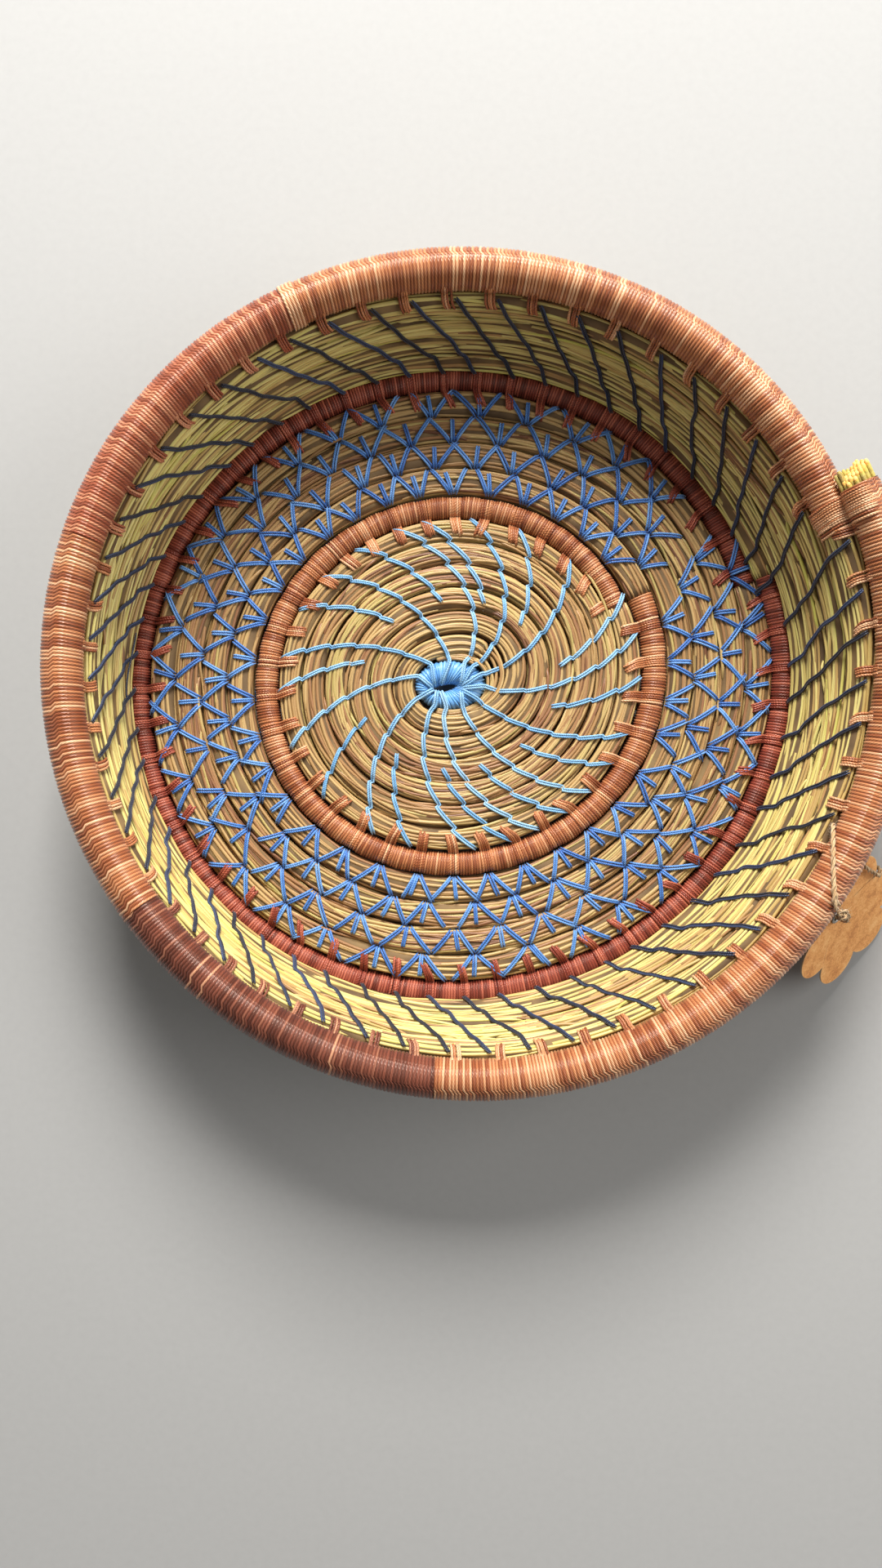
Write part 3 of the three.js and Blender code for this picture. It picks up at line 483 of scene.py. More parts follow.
def needle_bundle(name, start, end, count, material, node, taper=0.0):
    """Needles laid along the coil over a shaded heart. Needle k keeps to its place round the superellipse
    section and wanders a little, as a sum of slow waves. Each is some 120 to 240 mm long: where one ends
    it dives under the heart's skin, and the next comes up in its place with its own tone."""
    coil = stations(start, end, 2.6)
    steps = np.radians(np.diff(coil)) * coil_radius((coil[1:] + coil[:-1]) / 2)
    length = np.concatenate([[0], np.cumsum(steps)])
    track = np.arange(count)[:, None]
    wander = waves(count, length, 0.05, 0.15, 40, 170)
    phi = -2 * np.pi * (track + chance.uniform(-0.2, 0.2, (count, 1))) / count + wander
    piece_length = chance.uniform(120, 240, (count, 1))
    at = (length + chance.uniform(0, 240, (count, 1))) / piece_length
    dive = 0.85 * np.exp(-(np.abs(at - np.round(at)) * piece_length / 3.2) ** 2)
    proud = waves(count, length, 0.02, 0.08, 25, 90)
    tones = chance.beta(2.2, 2.0, (count, 400))[track, np.round(at).astype(int) % 400]
    full = smooth((coil - start) / taper) if taper else np.ones(len(coil))
    snug = np.where(coil > DARK_END, WALL_SNUG, FLOOR_SNUG)
    thinned = THINNEST + (1 - THINNEST) * full
    w = (half_width(coil) + snug - NEEDLE) * thinned + proud - dive
    h = (half_height(coil) - NEEDLE) * thinned + proud - dive
    across, up = section(phi, w, h, boxiness(coil))
    across = across - (1 - full) * START_TUCK
    up = np.maximum(up, NEEDLE - half_height(coil) + 0.02)
    paths = on_coil(coil[None, :], across, up)
    width = chance.uniform(0.86, 1.16, (count, 1)) * NEEDLE * (0.55 + 0.45 * full)
    needles = cords(paths, width, sideways(paths), 5, tones)
    piece = mesh_piece(name, needles, material, "basket", node)
    keep = np.append(np.arange(0, len(coil) - 1, 2), len(coil) - 1)
    coil, full, snug, thinned = (value[keep, None] for value in (coil, full, snug, thinned))
    turn = -np.arange(20) / 20 * 2 * np.pi
    under = 0.12 * np.cos(10 * turn) - 0.78 * NEEDLE
    w = (half_width(coil) + snug + under) * thinned
    h = (half_height(coil) + under) * thinned
    across, up = section(turn, w, h, boxiness(coil))
    rings = on_coil(coil, across - (1 - full) * START_TUCK, up)
    heart = skins(rings[None], chance.uniform(0.2, 0.8, len(coil))[None])
    mesh_piece(name + "_heart", heart, shade_between, "basket", node)
    return piece


def stray_needles(start, end, count):
    """Needles that cross from one row to the next on the face: each runs straight across the rows over
    30 to 80 mm, on the rows' crowns, with both ends tucked in."""
    middle = start + (end - start) * np.sqrt(chance.uniform(0.02, 1, (count, 1)))
    span = degrees_for(chance.uniform(15, 40, (count, 1)), middle)
    t = np.linspace(-1, 1, 15)[None]
    coil = middle + span * t
    w, h = half_width(coil), half_height(coil)
    x = (chance.uniform(-0.9, 0.9, (count, 1)) + chance.uniform(-0.9, 0.9, (count, 1)) * t) * w
    folded = np.clip(x, -w, w) - np.sign(x) * np.maximum(np.abs(x) - w, 0)
    tucked = 1.3 * smooth((np.abs(t) - 0.8) / 0.2)
    y = np.minimum(crown(folded, w, h, boxiness(coil)), h) - 0.38 - tucked
    path = on_coil(coil, x, y)
    tone = np.broadcast_to(chance.uniform(0, 1, (count, 1)), coil.shape)
    return cords(path, chance.uniform(0.45, 0.6, (count, 1)), sideways(path), 6, tone)


needle_bundle("inner_floor_needles", COIL_START, COPPER_START, 18, tan_needles, "floor_coil",
              taper=24.0)
for part, start, end, count in (("a", COPPER_END, COPPER_END + 2 * TURN, 20),
                                ("b", COPPER_END + 2 * TURN, DARK_START, 20)):
    needle_bundle("outer_floor_needles_" + part, start, end, count, tan_needles, "floor_coil")
for part, start, end, count in (("a", DARK_END, DARK_END + 2 * TURN, 20),
                                ("b", DARK_END + 2 * TURN, RIM_START, 21)):
    needle_bundle("wall_needles_" + part, start, end, count, green_needles, "wall_coil")

# Stray needles keep this many degrees away from the wrapped rows
AWAY = 14.0
for place, start, end, count, material, slot in (
        ("inner_floor", COIL_START + 200, COPPER_START - TURN - AWAY, 100, tan_needles, "tan_needles"),
        ("outer_floor", COPPER_END + TURN + AWAY, DARK_START - TURN - AWAY, 90, tan_needles, "tan_needles"),
        ("wall", DARK_END + TURN + AWAY, RIM_START - TURN - AWAY, 170, green_needles, "green_needles")):
    mesh_piece("stray_needles_" + place, stray_needles(start, end, count), material, "basket")


# Wraps and their tabs

def wound(name, start, end, material, tones, node=(), strand=RIM_STRAND, swell=None, roundness=ROUND):
    """Thread wound round the bundle: a skin whose radius has one half-round ridge for each strand,
    sqrt(1 - x^2) across the strand, on a helix that moves on one strand a turn. The tone is darker in
    the groove between two strands, as painted shade. The UV runs along the strand in centimetres, and
    across it by one a strand."""
    length = np.radians(end - start) * coil_radius((start + end) / 2)
    strands = int(round(length / strand))
    around = 26
    share = np.arange(around) / around
    step = np.arange((strands + 1) * 4 + 1)[:, None] / 4
    coil = start + (end - start) * np.clip(step - share, 0, strands) / strands
    ridge = np.sqrt(np.clip(1 - (2 * (step % 1) - 1) ** 2, 0, 1))
    which = np.minimum(step.astype(int), strands)
    uneven = chance.uniform(-0.045, 0.045, strands + 1)
    grow = 0.36 * ridge - 0.36 + uneven[which] + (swell(coil) if swell else 0)
    across, up = section(-2 * np.pi * share, half_width(coil) + grow, half_height(coil) + grow, roundness)
    # Painted shade: each strand's tone falls to 0.4 of itself in the groove between strands
    tone = tones[which[:, 0] % len(tones)] * (0.4 + 0.6 * ridge[:, 0])
    points, quads, tris, uvs, tone = skins(on_coil(coil, across, up)[None], tone[None])
    uvs = np.column_stack([uvs[:, 1] * 2.6, uvs[:, 0] * 10 / strand])
    return mesh_piece(name, (points, quads, tris, uvs, tone), material, "basket", node)


def strand_tones(low, high, glint_share=0.0, glint_tone=1.0):
    """A tone for each strand, even between two values, with a share of strands at another tone, used for
    painted glints.
    """
    tones = chance.uniform(low, high, 2000)
    return np.where(chance.uniform(0, 1, 2000) < glint_share, glint_tone, tones)


# Where a tab lies on its wrap, in shares of the wrap's half width
RIM_PART = (-0.93, -0.72, -0.35)
WHOLE_RING = (-0.93, -0.72, -0.3, 0.2, 0.62, 0.92)


def tabs(places, strands, slant=0.0, length=1.0, over=RIM_PART, uneven=0.3, rise=0.2, gauge=0.80):
    """Strands that reach from a wrap over the row before it and dive into that row. Seen in the section
    they rise out of the needles, lie on the row's crown and run over the wrap, at the shares of its half
    width in over, a rise above its crown. The same on the back."""
    parts = []
    for face in (1, -1):
        k = np.arange(strands) - (strands - 1) / 2
        coil = (places[:, None] + degrees_for(k * gauge, places[:, None])).ravel()
        coil = coil + chance.normal(0, 0.06, coil.shape)
        back = coil - TURN
        lean = np.repeat(slant + chance.normal(0, uneven, len(places)), strands) * face
        w, h = half_width(back), half_height(back)
        ww, wh = half_width(coil), half_height(coil)
        reach = length * chance.uniform(0.85, 1.12, coil.shape)
        rows = []
        for share, lift in ((-0.36, -1.0), (-0.22, 0.12), (0.15, 0.36), (0.7, 0.32)):
            x = (0.9 + (share - 0.9) * reach) * w
            y = np.minimum(crown(x, w, h, boxiness(back)) + lift, h + (0.36 if face > 0 else 9))
            rows.append(on_coil(back - lean * (0.9 - share) / 1.3, x, face * settled(back, y, face)))
        for share in over:
            lift = rise + 0.2 if share < -0.9 else rise if share < over[-1] else rise - 0.5
            y = crown(share * ww, ww, wh, ROUND) + lift
            rows.append(on_coil(coil, share * ww, face * settled(coil, y, face)))
        path = through(np.stack(rows, 1), 6 + 2 * len(over))
        side = np.broadcast_to(around_coil(coil)[:, None], path.shape)
        tone = np.broadcast_to(chance.uniform(0.3, 0.95, (len(coil), 1)), path.shape[:2])
        parts.append(cords(path, 0.42, side, 6, tone))
    return join(*parts)


def pulled_in(places):
    """Wraps stand proud between two tabs and are pulled in beside each one: a bell curve 1.7 mm wide."""
    def swell(coil):
        after = np.clip(np.searchsorted(places, coil), 1, len(places) - 1)
        away = np.minimum(np.abs(coil - places[after - 1]), np.abs(coil - places[after]))
        return 0.28 - 0.95 * np.exp(-(np.radians(away) * coil_radius(coil) / 1.7) ** 2)
    return swell


copper_pitch, dark_pitch = TURN / COPPER_TABS, TURN / DARK_TABS
copper_places = COPPER_START + degrees_for(2.2, COPPER_START) + np.arange(COPPER_TABS) * copper_pitch
dark_places = DARK_START + (np.arange(DARK_TABS) + 0.5) * dark_pitch

wound("copper_ring_thread", COPPER_START, COPPER_END, copper_thread,
      strand_tones(0.3, 0.9), "copper_ring_wrap", COPPER_STRAND, pulled_in(copper_places))
mesh_piece("copper_ring_tabs", tabs(copper_places, 5, 0.8, 1.08, WHOLE_RING, 1.0, 0.0, 0.74),
           copper_thread, "basket", "copper_ring_wrap")
wound("dark_ring_thread", DARK_START, DARK_END, dark_thread,
      strand_tones(0.2, 1.0), "dark_ring_wrap", DARK_STRAND, pulled_in(dark_places))
mesh_piece("dark_ring_tabs", tabs(dark_places, 4, 1.0, 1.05, WHOLE_RING, 0.7, 0.0, 0.70),
           dark_thread, "basket", "dark_ring_wrap")

rim_cuts = np.array([RIM_START, *(RIM_TURN * TURN + RIM_COLOUR_ANGLES), RIM_END])
rim_colours = [
    ("copper_a", copper_thread, "copper_thread", strand_tones(0.38, 1.0)),
    ("brown_a", red_brown_thread, "brown_thread", strand_tones(0.35, 0.95)),
    ("copper_b", copper_thread, "copper_thread", strand_tones(0.3, 1.0)),
    # A twentieth of the deep brown strands take the ramp's light end: painted glints
    ("brown_b", deep_brown_thread, "brown_thread", strand_tones(0.2, 0.75, 0.05)),
    ("copper_c", copper_thread, "copper_thread", strand_tones(0.35, 1.0)),
]
rim_places = []
for (colour, material, slot, tones), start, end in zip(rim_colours, rim_cuts[:-1], rim_cuts[1:]):
    node = "rim_wrap_" + colour
    wound("rim_thread_" + colour, start, end, material, tones, node, swell=lambda coil: RIM_SWELL)
    last = min(end, RIM_START + TURN)
    count = int(round((last - start) / RIM_TAB_PITCH))
    rim_places.append(start + (np.arange(count) + 0.5) * (last - start) / count)
    bridges = tabs(rim_places[-1], 4, 0.4, 0.66, rise=0.2 + RIM_SWELL)
    mesh_piece("rim_tabs_" + colour, bridges, material, "basket", node)
rim_places = np.concatenate(rim_places)

# A few strands lie over the change from red brown to copper, and a wide band ties down the rim's end
joint = rim_cuts[1] + degrees_for(np.array([-2.6, 1.8]), rim_cuts[1])
wound("rim_thread_over_joint", joint[0], joint[1], copper_thread, strand_tones(0.9, 1.0),
      swell=lambda coil: 0.42 + RIM_SWELL)
band = RIM_END - degrees_for(5.2, RIM_END)
mesh_piece("rim_end_band", tabs(np.array([band]), 12, 0.6, 1.5, WHOLE_RING, 0.0, 0.35 + RIM_SWELL, 0.76),
           copper_thread, "basket")


# Stitches

def over_row(coil_in, coil_out, face=1, share=1.0):
    """Path of one leg of thread over a row, from the groove before it to the groove beyond, or diving
    into the row at a share of the way."""
    t = np.linspace(0, 1, 9)[None, :]
    share = np.reshape(share, (-1, 1))
    coil = coil_in[:, None] + (coil_out - coil_in)[:, None] * t * share
    w, h = half_width(coil), half_height(coil)
    x = (-1 + 2 * t * share) * (w + ROW_GAP / 2)
    y = np.maximum(crown(x, w, h, boxiness(coil)), FAN_SINK * h) + LYING
    y = y - 1.4 * smooth((t - 0.92) / 0.08) * (share < 0.99)
    return on_coil(coil, x, face * settled(coil, y, face)), off_face(coil) * face


def doubled(path, face, gap=0.38, radius=THREAD, tone=(0.1, 1.0)):
    """Two threads side by side along each path, a gap to each side of its middle, flat on the face."""
    aside = unit(np.cross(np.gradient(path, axis=1), face))
    parts = []
    for hand in (-1, 1):
        shift = (hand * gap + chance.normal(0, 0.05, (len(path), 1, 1))) * aside
        raised = chance.normal(0, 0.03, (len(path), 1, 1)) * face
        level = np.broadcast_to(chance.uniform(*tone, (len(path), 1)), path.shape[:2])
        parts.append(cords(path + shift + raised, radius, aside, 6, level))
    return join(*parts)


# The legs of a fan: millimetres aside at its foot, degrees that it leans, and how far it reaches over the row
FAN_LEGS = ((0.85, 5.4, 1.0), (0, 0.5, 0.93), (-0.85, -4.9, 1.0))


def fans():
    """Fans of three doubled legs on the four outer rows. Row by row the fans move on by half a fan, so
    that the outer legs of two neighbours meet where a fan of the next row starts."""
    parts = []
    for face in (1, -1):
        for row in range(OUTER_ROWS):
            apex = copper_places + TURN * (row + 1) + row * copper_pitch / 2
            apex = apex + chance.normal(0, 0.6, COPPER_TABS)
            apex = apex[(apex > COPPER_END + 2) & (apex < DARK_START + 4)]
            for side, lean, share in FAN_LEGS:
                foot = apex + degrees_for(side, apex) * face
                tip = apex + (lean + chance.normal(0, 0.85, apex.shape)) * face
                reach = share * chance.uniform(0.92, 1.0, apex.shape) if share < 1 else share
                parts.append(doubled(*over_row(foot, tip, face, reach)))
    return join(*parts)


RING_MIDDLE, RING_HALF = np.array([-1.2, -1.9]), np.array([11.6, 8.3])
SLIT_MIDDLE, SLIT_HALF = np.array([-3.3, -2.9]), np.array([3.7, 1.05])
# The slit rises to the right, by this much a millimetre
SLIT_RISE = 0.2
RING_STRANDS = 46


def ring_edge(azimuth):
    """Distance from the spiral's middle to the start ring's outside."""
    t = np.linspace(0, 2 * np.pi, 721)
    edge = RING_MIDDLE + RING_HALF * np.stack([np.cos(t), np.sin(t)], 1)
    at = np.degrees(np.unwrap(np.arctan2(edge[:, 1], edge[:, 0])))
    order = np.argsort(at % TURN)
    return np.interp(azimuth % TURN, (at % TURN)[order], np.hypot(*edge.T)[order], period=TURN)


def flat_polar(azimuth, radius, height):
    """Points at azimuths, radii from the spiral's middle, and heights."""
    azimuth, radius, height = np.broadcast_arrays(np.asarray(azimuth, float), radius, height)
    turned = np.radians(azimuth)
    return np.stack([radius * np.cos(turned), radius * np.sin(turned), height], -1) - AXIS_SHIFT


# Azimuths of the long lines at the copper ring and at the start ring, and of the short lines between
LONG_OUT = np.array([373.8, 45.3, 83, 111, 141.6, 173, 202.5, 241.8, 276.3, 298.5, 319.8, 342.3])
LONG_IN = np.array([345, 8.7, 32, 56, 105, 150, 177, 208.6, 234.4, 254.4, 286.8, 318.2])
SHORT_OUT = np.array([26, 65.7, 100.5, 126.6, 155.4, 184, 221.7, 254.7, 288.6, 309.6, 331.8, 360])
SHORT_ROWS = 3.6
# On a row a line turns this much more than evenly, and turns back in the groove
SWIRL_KINK = 1.3


def over_ring(azimuth):
    """The end of a long line that runs over the start ring into its slit."""
    edge = ring_edge(azimuth)
    outside, crest = flat_polar(azimuth, np.array([edge + 0.8, edge - 0.9]), np.array([7.9, 8.1]))
    c, s = np.cos(np.radians(azimuth)), np.sin(np.radians(azimuth))
    target = np.append(SLIT_MIDDLE + SLIT_HALF * [1.5 if c > 0.2 else c, s], 0) - AXIS_SHIFT
    flat = np.array([1.0, 1.0, 0.0])
    middle = (crest * 0.45 + target * 0.55) * flat + [0, 0, 8.5]
    near = (crest * 0.1 + target * 0.9) * flat + [0, 0, 7.5]
    return through(np.stack([target + [0, 0, 5.2], near, middle, crest, outside])[None], 14)[0]


def swirl():
    """Lines that swirl out over the inner rows from the start ring's slit, and short ones between them.
    Along a line the azimuth grows evenly with the row, a little more on each row and back in the groove."""
    spread_at = np.append(LONG_OUT[1:], [373.8, 405.3])
    spread = np.append(LONG_OUT[1:] - LONG_IN[1:], [28.8, 36.6])
    short_change = np.interp(SHORT_OUT + np.where(SHORT_OUT < 45, TURN, 0), spread_at, spread)
    lines = [(a, a - b, INNER_ROWS) for a, b in zip(LONG_OUT, LONG_IN)]
    lines += [(a, b, SHORT_ROWS) for a, b in zip(SHORT_OUT, short_change)]
    parts = []
    for outer, change, rows in lines:
        outer = outer + (TURN if outer < 30 else 0)
        to_ring = rows == INNER_ROWS
        if to_ring and (outer - change) % TURN < COIL_START + 3:
            rows = INNER_ROWS - 1
        t = np.linspace(0, rows, int(rows * 8) + 1)
        row = np.minimum(np.floor(t), np.ceil(rows) - 1)
        f = t - row
        stepped = row + 0.5 + (f - 0.5) * SWIRL_KINK
        coil = (TURN * (INNER_ROWS - 1 - row) + outer - change * stepped / INNER_ROWS)[::-1]
        away = (1 - 2 * f)[::-1]
        w, h = half_width(coil), half_height(coil)
        x = away * (w + ROW_GAP / 2)
        y = np.maximum(crown(x, w, h, FLOOR_BOXY), SWIRL_SINK * h) + LYING
        for face in (1, -1):
            path = on_coil(coil, x, face * settled(coil, y, face))
            normal = off_face(coil) * face
            if to_ring and face > 0:
                azimuth = outer - change
                keep = np.hypot(*(path + AXIS_SHIFT)[:, :2].T) > ring_edge(azimuth) + 1.4
                path = np.concatenate([over_ring(azimuth), path[keep]])
                normal = np.concatenate([np.tile([0, 0, 1.0], (14, 1)), normal[keep]])
            parts.append(doubled(path[None], normal[None], 0.36, THREAD, (0.3, 1.0)))
    return join(*parts)


def wall_lines():
    """Lines up the wall, each one thread doubled from the groove beyond the dark ring to the rim's first
    groove. A line starts by a tab of the dark ring, ends by one of the rim's and leans on evenly between
    them, with its own small wander. Over a groove it sinks only a little."""
    tops = np.sort(rim_places) - 1.3
    count = len(tops)
    foots = DARK_START + (np.round(np.arange(count) * DARK_TABS / count) - 0.5) * dark_pitch
    rise = tops - foots - TURN * (RIM_TURN - DARK_TURN)
    t = np.linspace(0, WALL_ROWS, 8 * WALL_ROWS + 1)[None]
    row = np.minimum(np.floor(t), WALL_ROWS - 1)
    f = t - row
    parts = []
    for face in (1, -1):
        wander = chance.normal(0, 0.35, (count, WALL_ROWS + 1))
        low = wander[:, row[0].astype(int)]
        high = wander[:, row[0].astype(int) + 1]
        eased = row + f + 0.04 * np.sin(2 * np.pi * f)
        coil = foots[:, None] + TURN * (row + 1) + rise[:, None] * eased / WALL_ROWS + low + (high - low) * f
        w, h = half_width(coil), half_height(coil)
        x = (2 * f - 1) * (w + ROW_GAP / 2)
        y = np.maximum(crown(x, w, h, WALL_BOXY), WALL_SINK * h) + LYING
        path = softened(softened(on_coil(coil, x, face * y)))
        parts.append(doubled(path, off_face(coil) * face, 0.33, THREAD))
    return join(*parts)


def loose_thread():
    """A loose end of navy thread that lies along the first wall row on the left."""
    coil = (DARK_TURN + 1) * TURN + np.linspace(172.0, 184.5, 14)[None]
    up = half_height(coil) + 0.5 + 0.35 * np.sin(np.linspace(0, 5, 14))
    across = 1.3 * np.sin(np.linspace(-1, 2.2, 14))[None]
    path = on_coil(coil, across, up)
    return cords(path, 0.3, off_face(coil), 6, 0.6)


mesh_piece("swirl_thread", swirl(), sky_thread, "basket", "swirl_stitches")
mesh_piece("fan_thread", fans(), cobalt_thread, "basket")
mesh_piece("wall_thread", join(wall_lines(), loose_thread()), navy_thread, "basket",
           "wall_stitches")


# Start ring

def start_ring():
    """Long loop wound with thread round its slit. Each section spans from a point on the slit's ellipse
    to one on the outer ellipse, and its outline has one half-round ridge for each strand."""
    around = 22
    step = np.arange(RING_STRANDS * 4) / 4
    t = step / RING_STRANDS * 2 * np.pi
    phi = -np.arange(around) / around * 2 * np.pi
    ridge = np.sqrt(np.clip(1 - (2 * (step % 1) - 1) ** 2, 0, 1))
    uneven = chance.uniform(-0.12, 0.12, RING_STRANDS)[step.astype(int)]
    grow = (0.42 * ridge - 0.36 + uneven)[:, None]
    ellipse = np.stack([np.cos(t), np.sin(t)], 1)
    outer, slit = RING_MIDDLE + RING_HALF * ellipse, SLIT_MIDDLE + SLIT_HALF * ellipse
    slit[:, 1] += SLIT_RISE * (slit[:, 0] - SLIT_MIDDLE[0])
    half = np.linalg.norm(outer - slit, axis=1)[:, None] / 2
    a, b = section(phi[None], half + grow, ROW_HALF_HEIGHT + grow, ROUND)
    flat = ((outer + slit) / 2)[:, None] + unit(outer - slit)[:, None] * a[..., None]
    rings = np.concatenate([flat, (ROW_HALF_HEIGHT + b)[..., None]], -1) - AXIS_SHIFT
    # Painted shade: each strand's tone falls to 0.35 of itself in the groove between strands
    tone = chance.uniform(0.35, 0.95, RING_STRANDS)[step.astype(int)] * (0.35 + 0.65 * ridge)
    rings, tone = np.concatenate([rings, rings[:1]]), np.append(tone, tone[0])
    return skins(rings[None], tone[None], capped=False)


def needles_round_ring(first, last, turn):
    """Needles folded round the start ring: arcs between two azimuths that fill the room from the ring's
    outside to the inside of the coil's row at that turn, in four layers of six."""
    azimuth = np.linspace(first, last, 40)[None]
    inner = ring_edge(azimuth) + 0.1
    coil = turn * TURN + azimuth
    edge = on_coil(coil, -half_width(coil), 0) + AXIS_SHIFT
    room = np.maximum(np.hypot(edge[..., 0], edge[..., 1]) - inner, 0.8)
    lane, layer = (k.reshape(-1, 1) for k in np.meshgrid(np.arange(6), np.arange(4)))
    height = np.array([7.15, 5.4, 3.2, 0.8])[layer]
    height = height - np.where(layer == 0, (1 - np.minimum(room / 4.5, 1)) * 0.9, 0)
    height = height - np.where((lane % 2 == 1) & (layer == 0), 0.25, 0)
    height = height + 0.2 * np.sin(azimuth / 23 + lane * 3.1) * (layer < 3)
    place = (lane + 0.5) / 6 + chance.uniform(-0.04, 0.04, lane.shape)
    radius = inner + room * (place + 0.05 * np.sin(azimuth / 17 + lane * 2))
    path = flat_polar(azimuth, radius, height)
    tone = np.broadcast_to(chance.uniform(0.2, 0.9, lane.shape), path.shape[:2])
    return cords(path, 0.56, sideways(path), 6, tone)


mesh_piece("needles_folded_round_ring", join(needles_round_ring(-120, 44, 1), needles_round_ring(34, 132, 0)),
           tan_needles, "basket")
mesh_piece("start_ring_thread", start_ring(), ring_thread, "basket", "start_ring_wrap")


# Rim's cut end

# Length of the bare end, and how much shorter it is on top
BUTT_LENGTH = 7.0
BUTT_CUT = 5.0
BUTT_RADIUS, BUTT_SPACING = 4.2, 1.2


def cut_end():
    """Needles that stand out of the rim's last wrap: cords in a hexagonal pack. The cut slopes down and
    outwards, so those on top end first, and the ends show their torn pith."""
    across, down = np.meshgrid(np.arange(-5, 6), np.arange(-5, 6))
    spots = np.stack([(across + 0.5 * (down % 2)).ravel(), 0.866 * down.ravel()], 1) * BUTT_SPACING
    spots = spots[np.hypot(*spots.T) < BUTT_RADIUS]
    spots = spots + chance.normal(0, 0.08, spots.shape)
    height = (spots[:, 1:] + BUTT_RADIUS) / (2 * BUTT_RADIUS)
    whole = spots[:, :1] < -2 * BUTT_SPACING
    length = BUTT_LENGTH - np.where(whole, 1.0, BUTT_CUT * height) + chance.uniform(-0.5, 0.3, height.shape)
    reach = degrees_for(length, RIM_END)
    t = np.array([0, 0.3, 0.6, 0.8, 0.93, 1.0])[None]
    coil = RIM_END - 3 + (3 + reach) * t
    path = on_coil(coil, spots[:, :1] * (1 + 0.04 * t), spots[:, 1:] * (1 + 0.04 * t))
    skin_tone = chance.uniform(0.2, 0.5, (len(spots), 1))
    pith = chance.uniform(0.72, 1.0, (len(spots), 1))
    tone = np.where((t > 0.9) & ~whole, pith, skin_tone)
    return cords(path, 0.66, sideways(path), 7, tone)


mesh_piece("rim_cut_needles", cut_end(), cut_needles, "basket", "rim_core")


# Twine and tag, along the routes of the part's source

def middle_of(node):
    """Middle of a node's box, in millimetres."""
    return np.mean(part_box(node), axis=0) / METRES


SEAT_GAP = 0.3
TAG_THICKNESS = 0.5
TWINE = 1.75
# Azimuths round the basket, and angles round the rim's section from straight outwards
TWINE_START_ANGLE, TWINE_SEAM_ANGLE = -22.5, 200.0
INSIDE_SEAM = 18.0
LOOP_END_ANGLE, LOOP_END_TURN = -25.4, 300.0
KNOT_RADIUS, KNOT_ANGLE = 2.0, 25.0
TAG_ANGLE, TAG_SLOPE = -32.6, 47.0
LOBE_REACH, LOBE_RADIUS = 15.2, 8.3
TAG_MIDDLE, TAG_TWIST, NOTCH_RADIUS, NOTCH_ANGLE = 10.4, 8.0, 16.5, 98.0
OUT = np.array([np.cos(np.radians(TAG_ANGLE)), np.sin(np.radians(TAG_ANGLE)), 0])
ROUND_IT = np.array([-OUT[1], OUT[0], 0])
UP = np.array([0, 0, 1.0])
DOWN_SLOPE = OUT * np.cos(np.radians(TAG_SLOPE)) - UP * np.sin(np.radians(TAG_SLOPE))
EYELET, KNOT = middle_of("tag_eyelet"), middle_of("twine_knot")


def on_tag(points):
    """From the tag's own frame, with the eyelet in its origin, down the slope, round and off the face."""
    frame_rows = np.stack([DOWN_SLOPE, ROUND_IT, np.cross(DOWN_SLOPE, ROUND_IT)])
    return np.asarray(points, float) @ frame_rows + EYELET


def around_rim(azimuth, clear, angle):
    """Point beside the rim's section at an azimuth, at a distance and angle from its centre."""
    coil = RIM_TURN * TURN + np.where(azimuth < RIM_START_ANGLE, azimuth + TURN, azimuth)
    centre = on_coil(coil, 0, 0) + AXIS_SHIFT
    r = np.hypot(centre[..., 0], centre[..., 1]) + clear * np.cos(np.radians(angle))
    return flat_polar(azimuth, r, centre[..., 2] + clear * np.sin(np.radians(angle)))


def length_along(path):
    """Length along a path at each of its points."""
    return np.concatenate([[0], np.cumsum(np.linalg.norm(np.diff(path, axis=0), axis=1))])


def plies(path, radius, per_turn):
    """Twine of two plies that wind round each other along a path, one turn in per_turn millimetres."""
    length = length_along(path)
    s = np.linspace(0, length[-1], max(12, int(length[-1] / 0.45)))
    fine = np.stack([np.interp(s, length, path[:, k]) for k in range(3)], 1)
    along = unit(np.gradient(fine, axis=0))
    a = unit(np.cross(along, [0.31, 0.2, 0.93]))
    b = np.cross(along, a)
    spin = (2 * np.pi * s / per_turn)[None] + np.array([[0.0], [np.pi]])
    strands = fine[None] + radius * 0.48 * (np.cos(spin)[..., None] * a + np.sin(spin)[..., None] * b)
    tone = np.broadcast_to(chance.uniform(0.3, 0.8, (2, 1)), strands.shape[:2])
    return cords(strands, radius * 0.6, np.broadcast_to(a, strands.shape), 6, tone), fine


def hairs(path, count, reach):
    """Loose fibres: short curved cords that start in the twine and stand off it in any direction."""
    start = path[chance.integers(0, len(path), count)]
    way = unit(chance.normal(0, 1, (count, 3)))
    bend = unit(chance.normal(0, 1, (count, 3)))
    long = chance.uniform(0.4, 1.0, (count, 1)) * reach
    t = np.linspace(0, 1, 5)[None, :, None]
    curve = start[:, None] + long[:, None] * (way[:, None] * t + bend[:, None] * 0.4 * t ** 2)
    side = np.broadcast_to(np.cross(way, bend)[:, None], curve.shape)
    return cords(curve, 0.045, side, 3, 0.9)


def tied_knot():
    """Knot of one twine: the trefoil curve (sin t + 2 sin 2t, cos t - 2 cos 2t, -sin 3t)."""
    t = np.linspace(0, 2 * np.pi, 40)
    curve = np.stack([np.sin(t) + 2 * np.sin(2 * t), np.cos(t) - 2 * np.cos(2 * t), -np.sin(3 * t)], 1)
    return KNOT + curve * 0.5


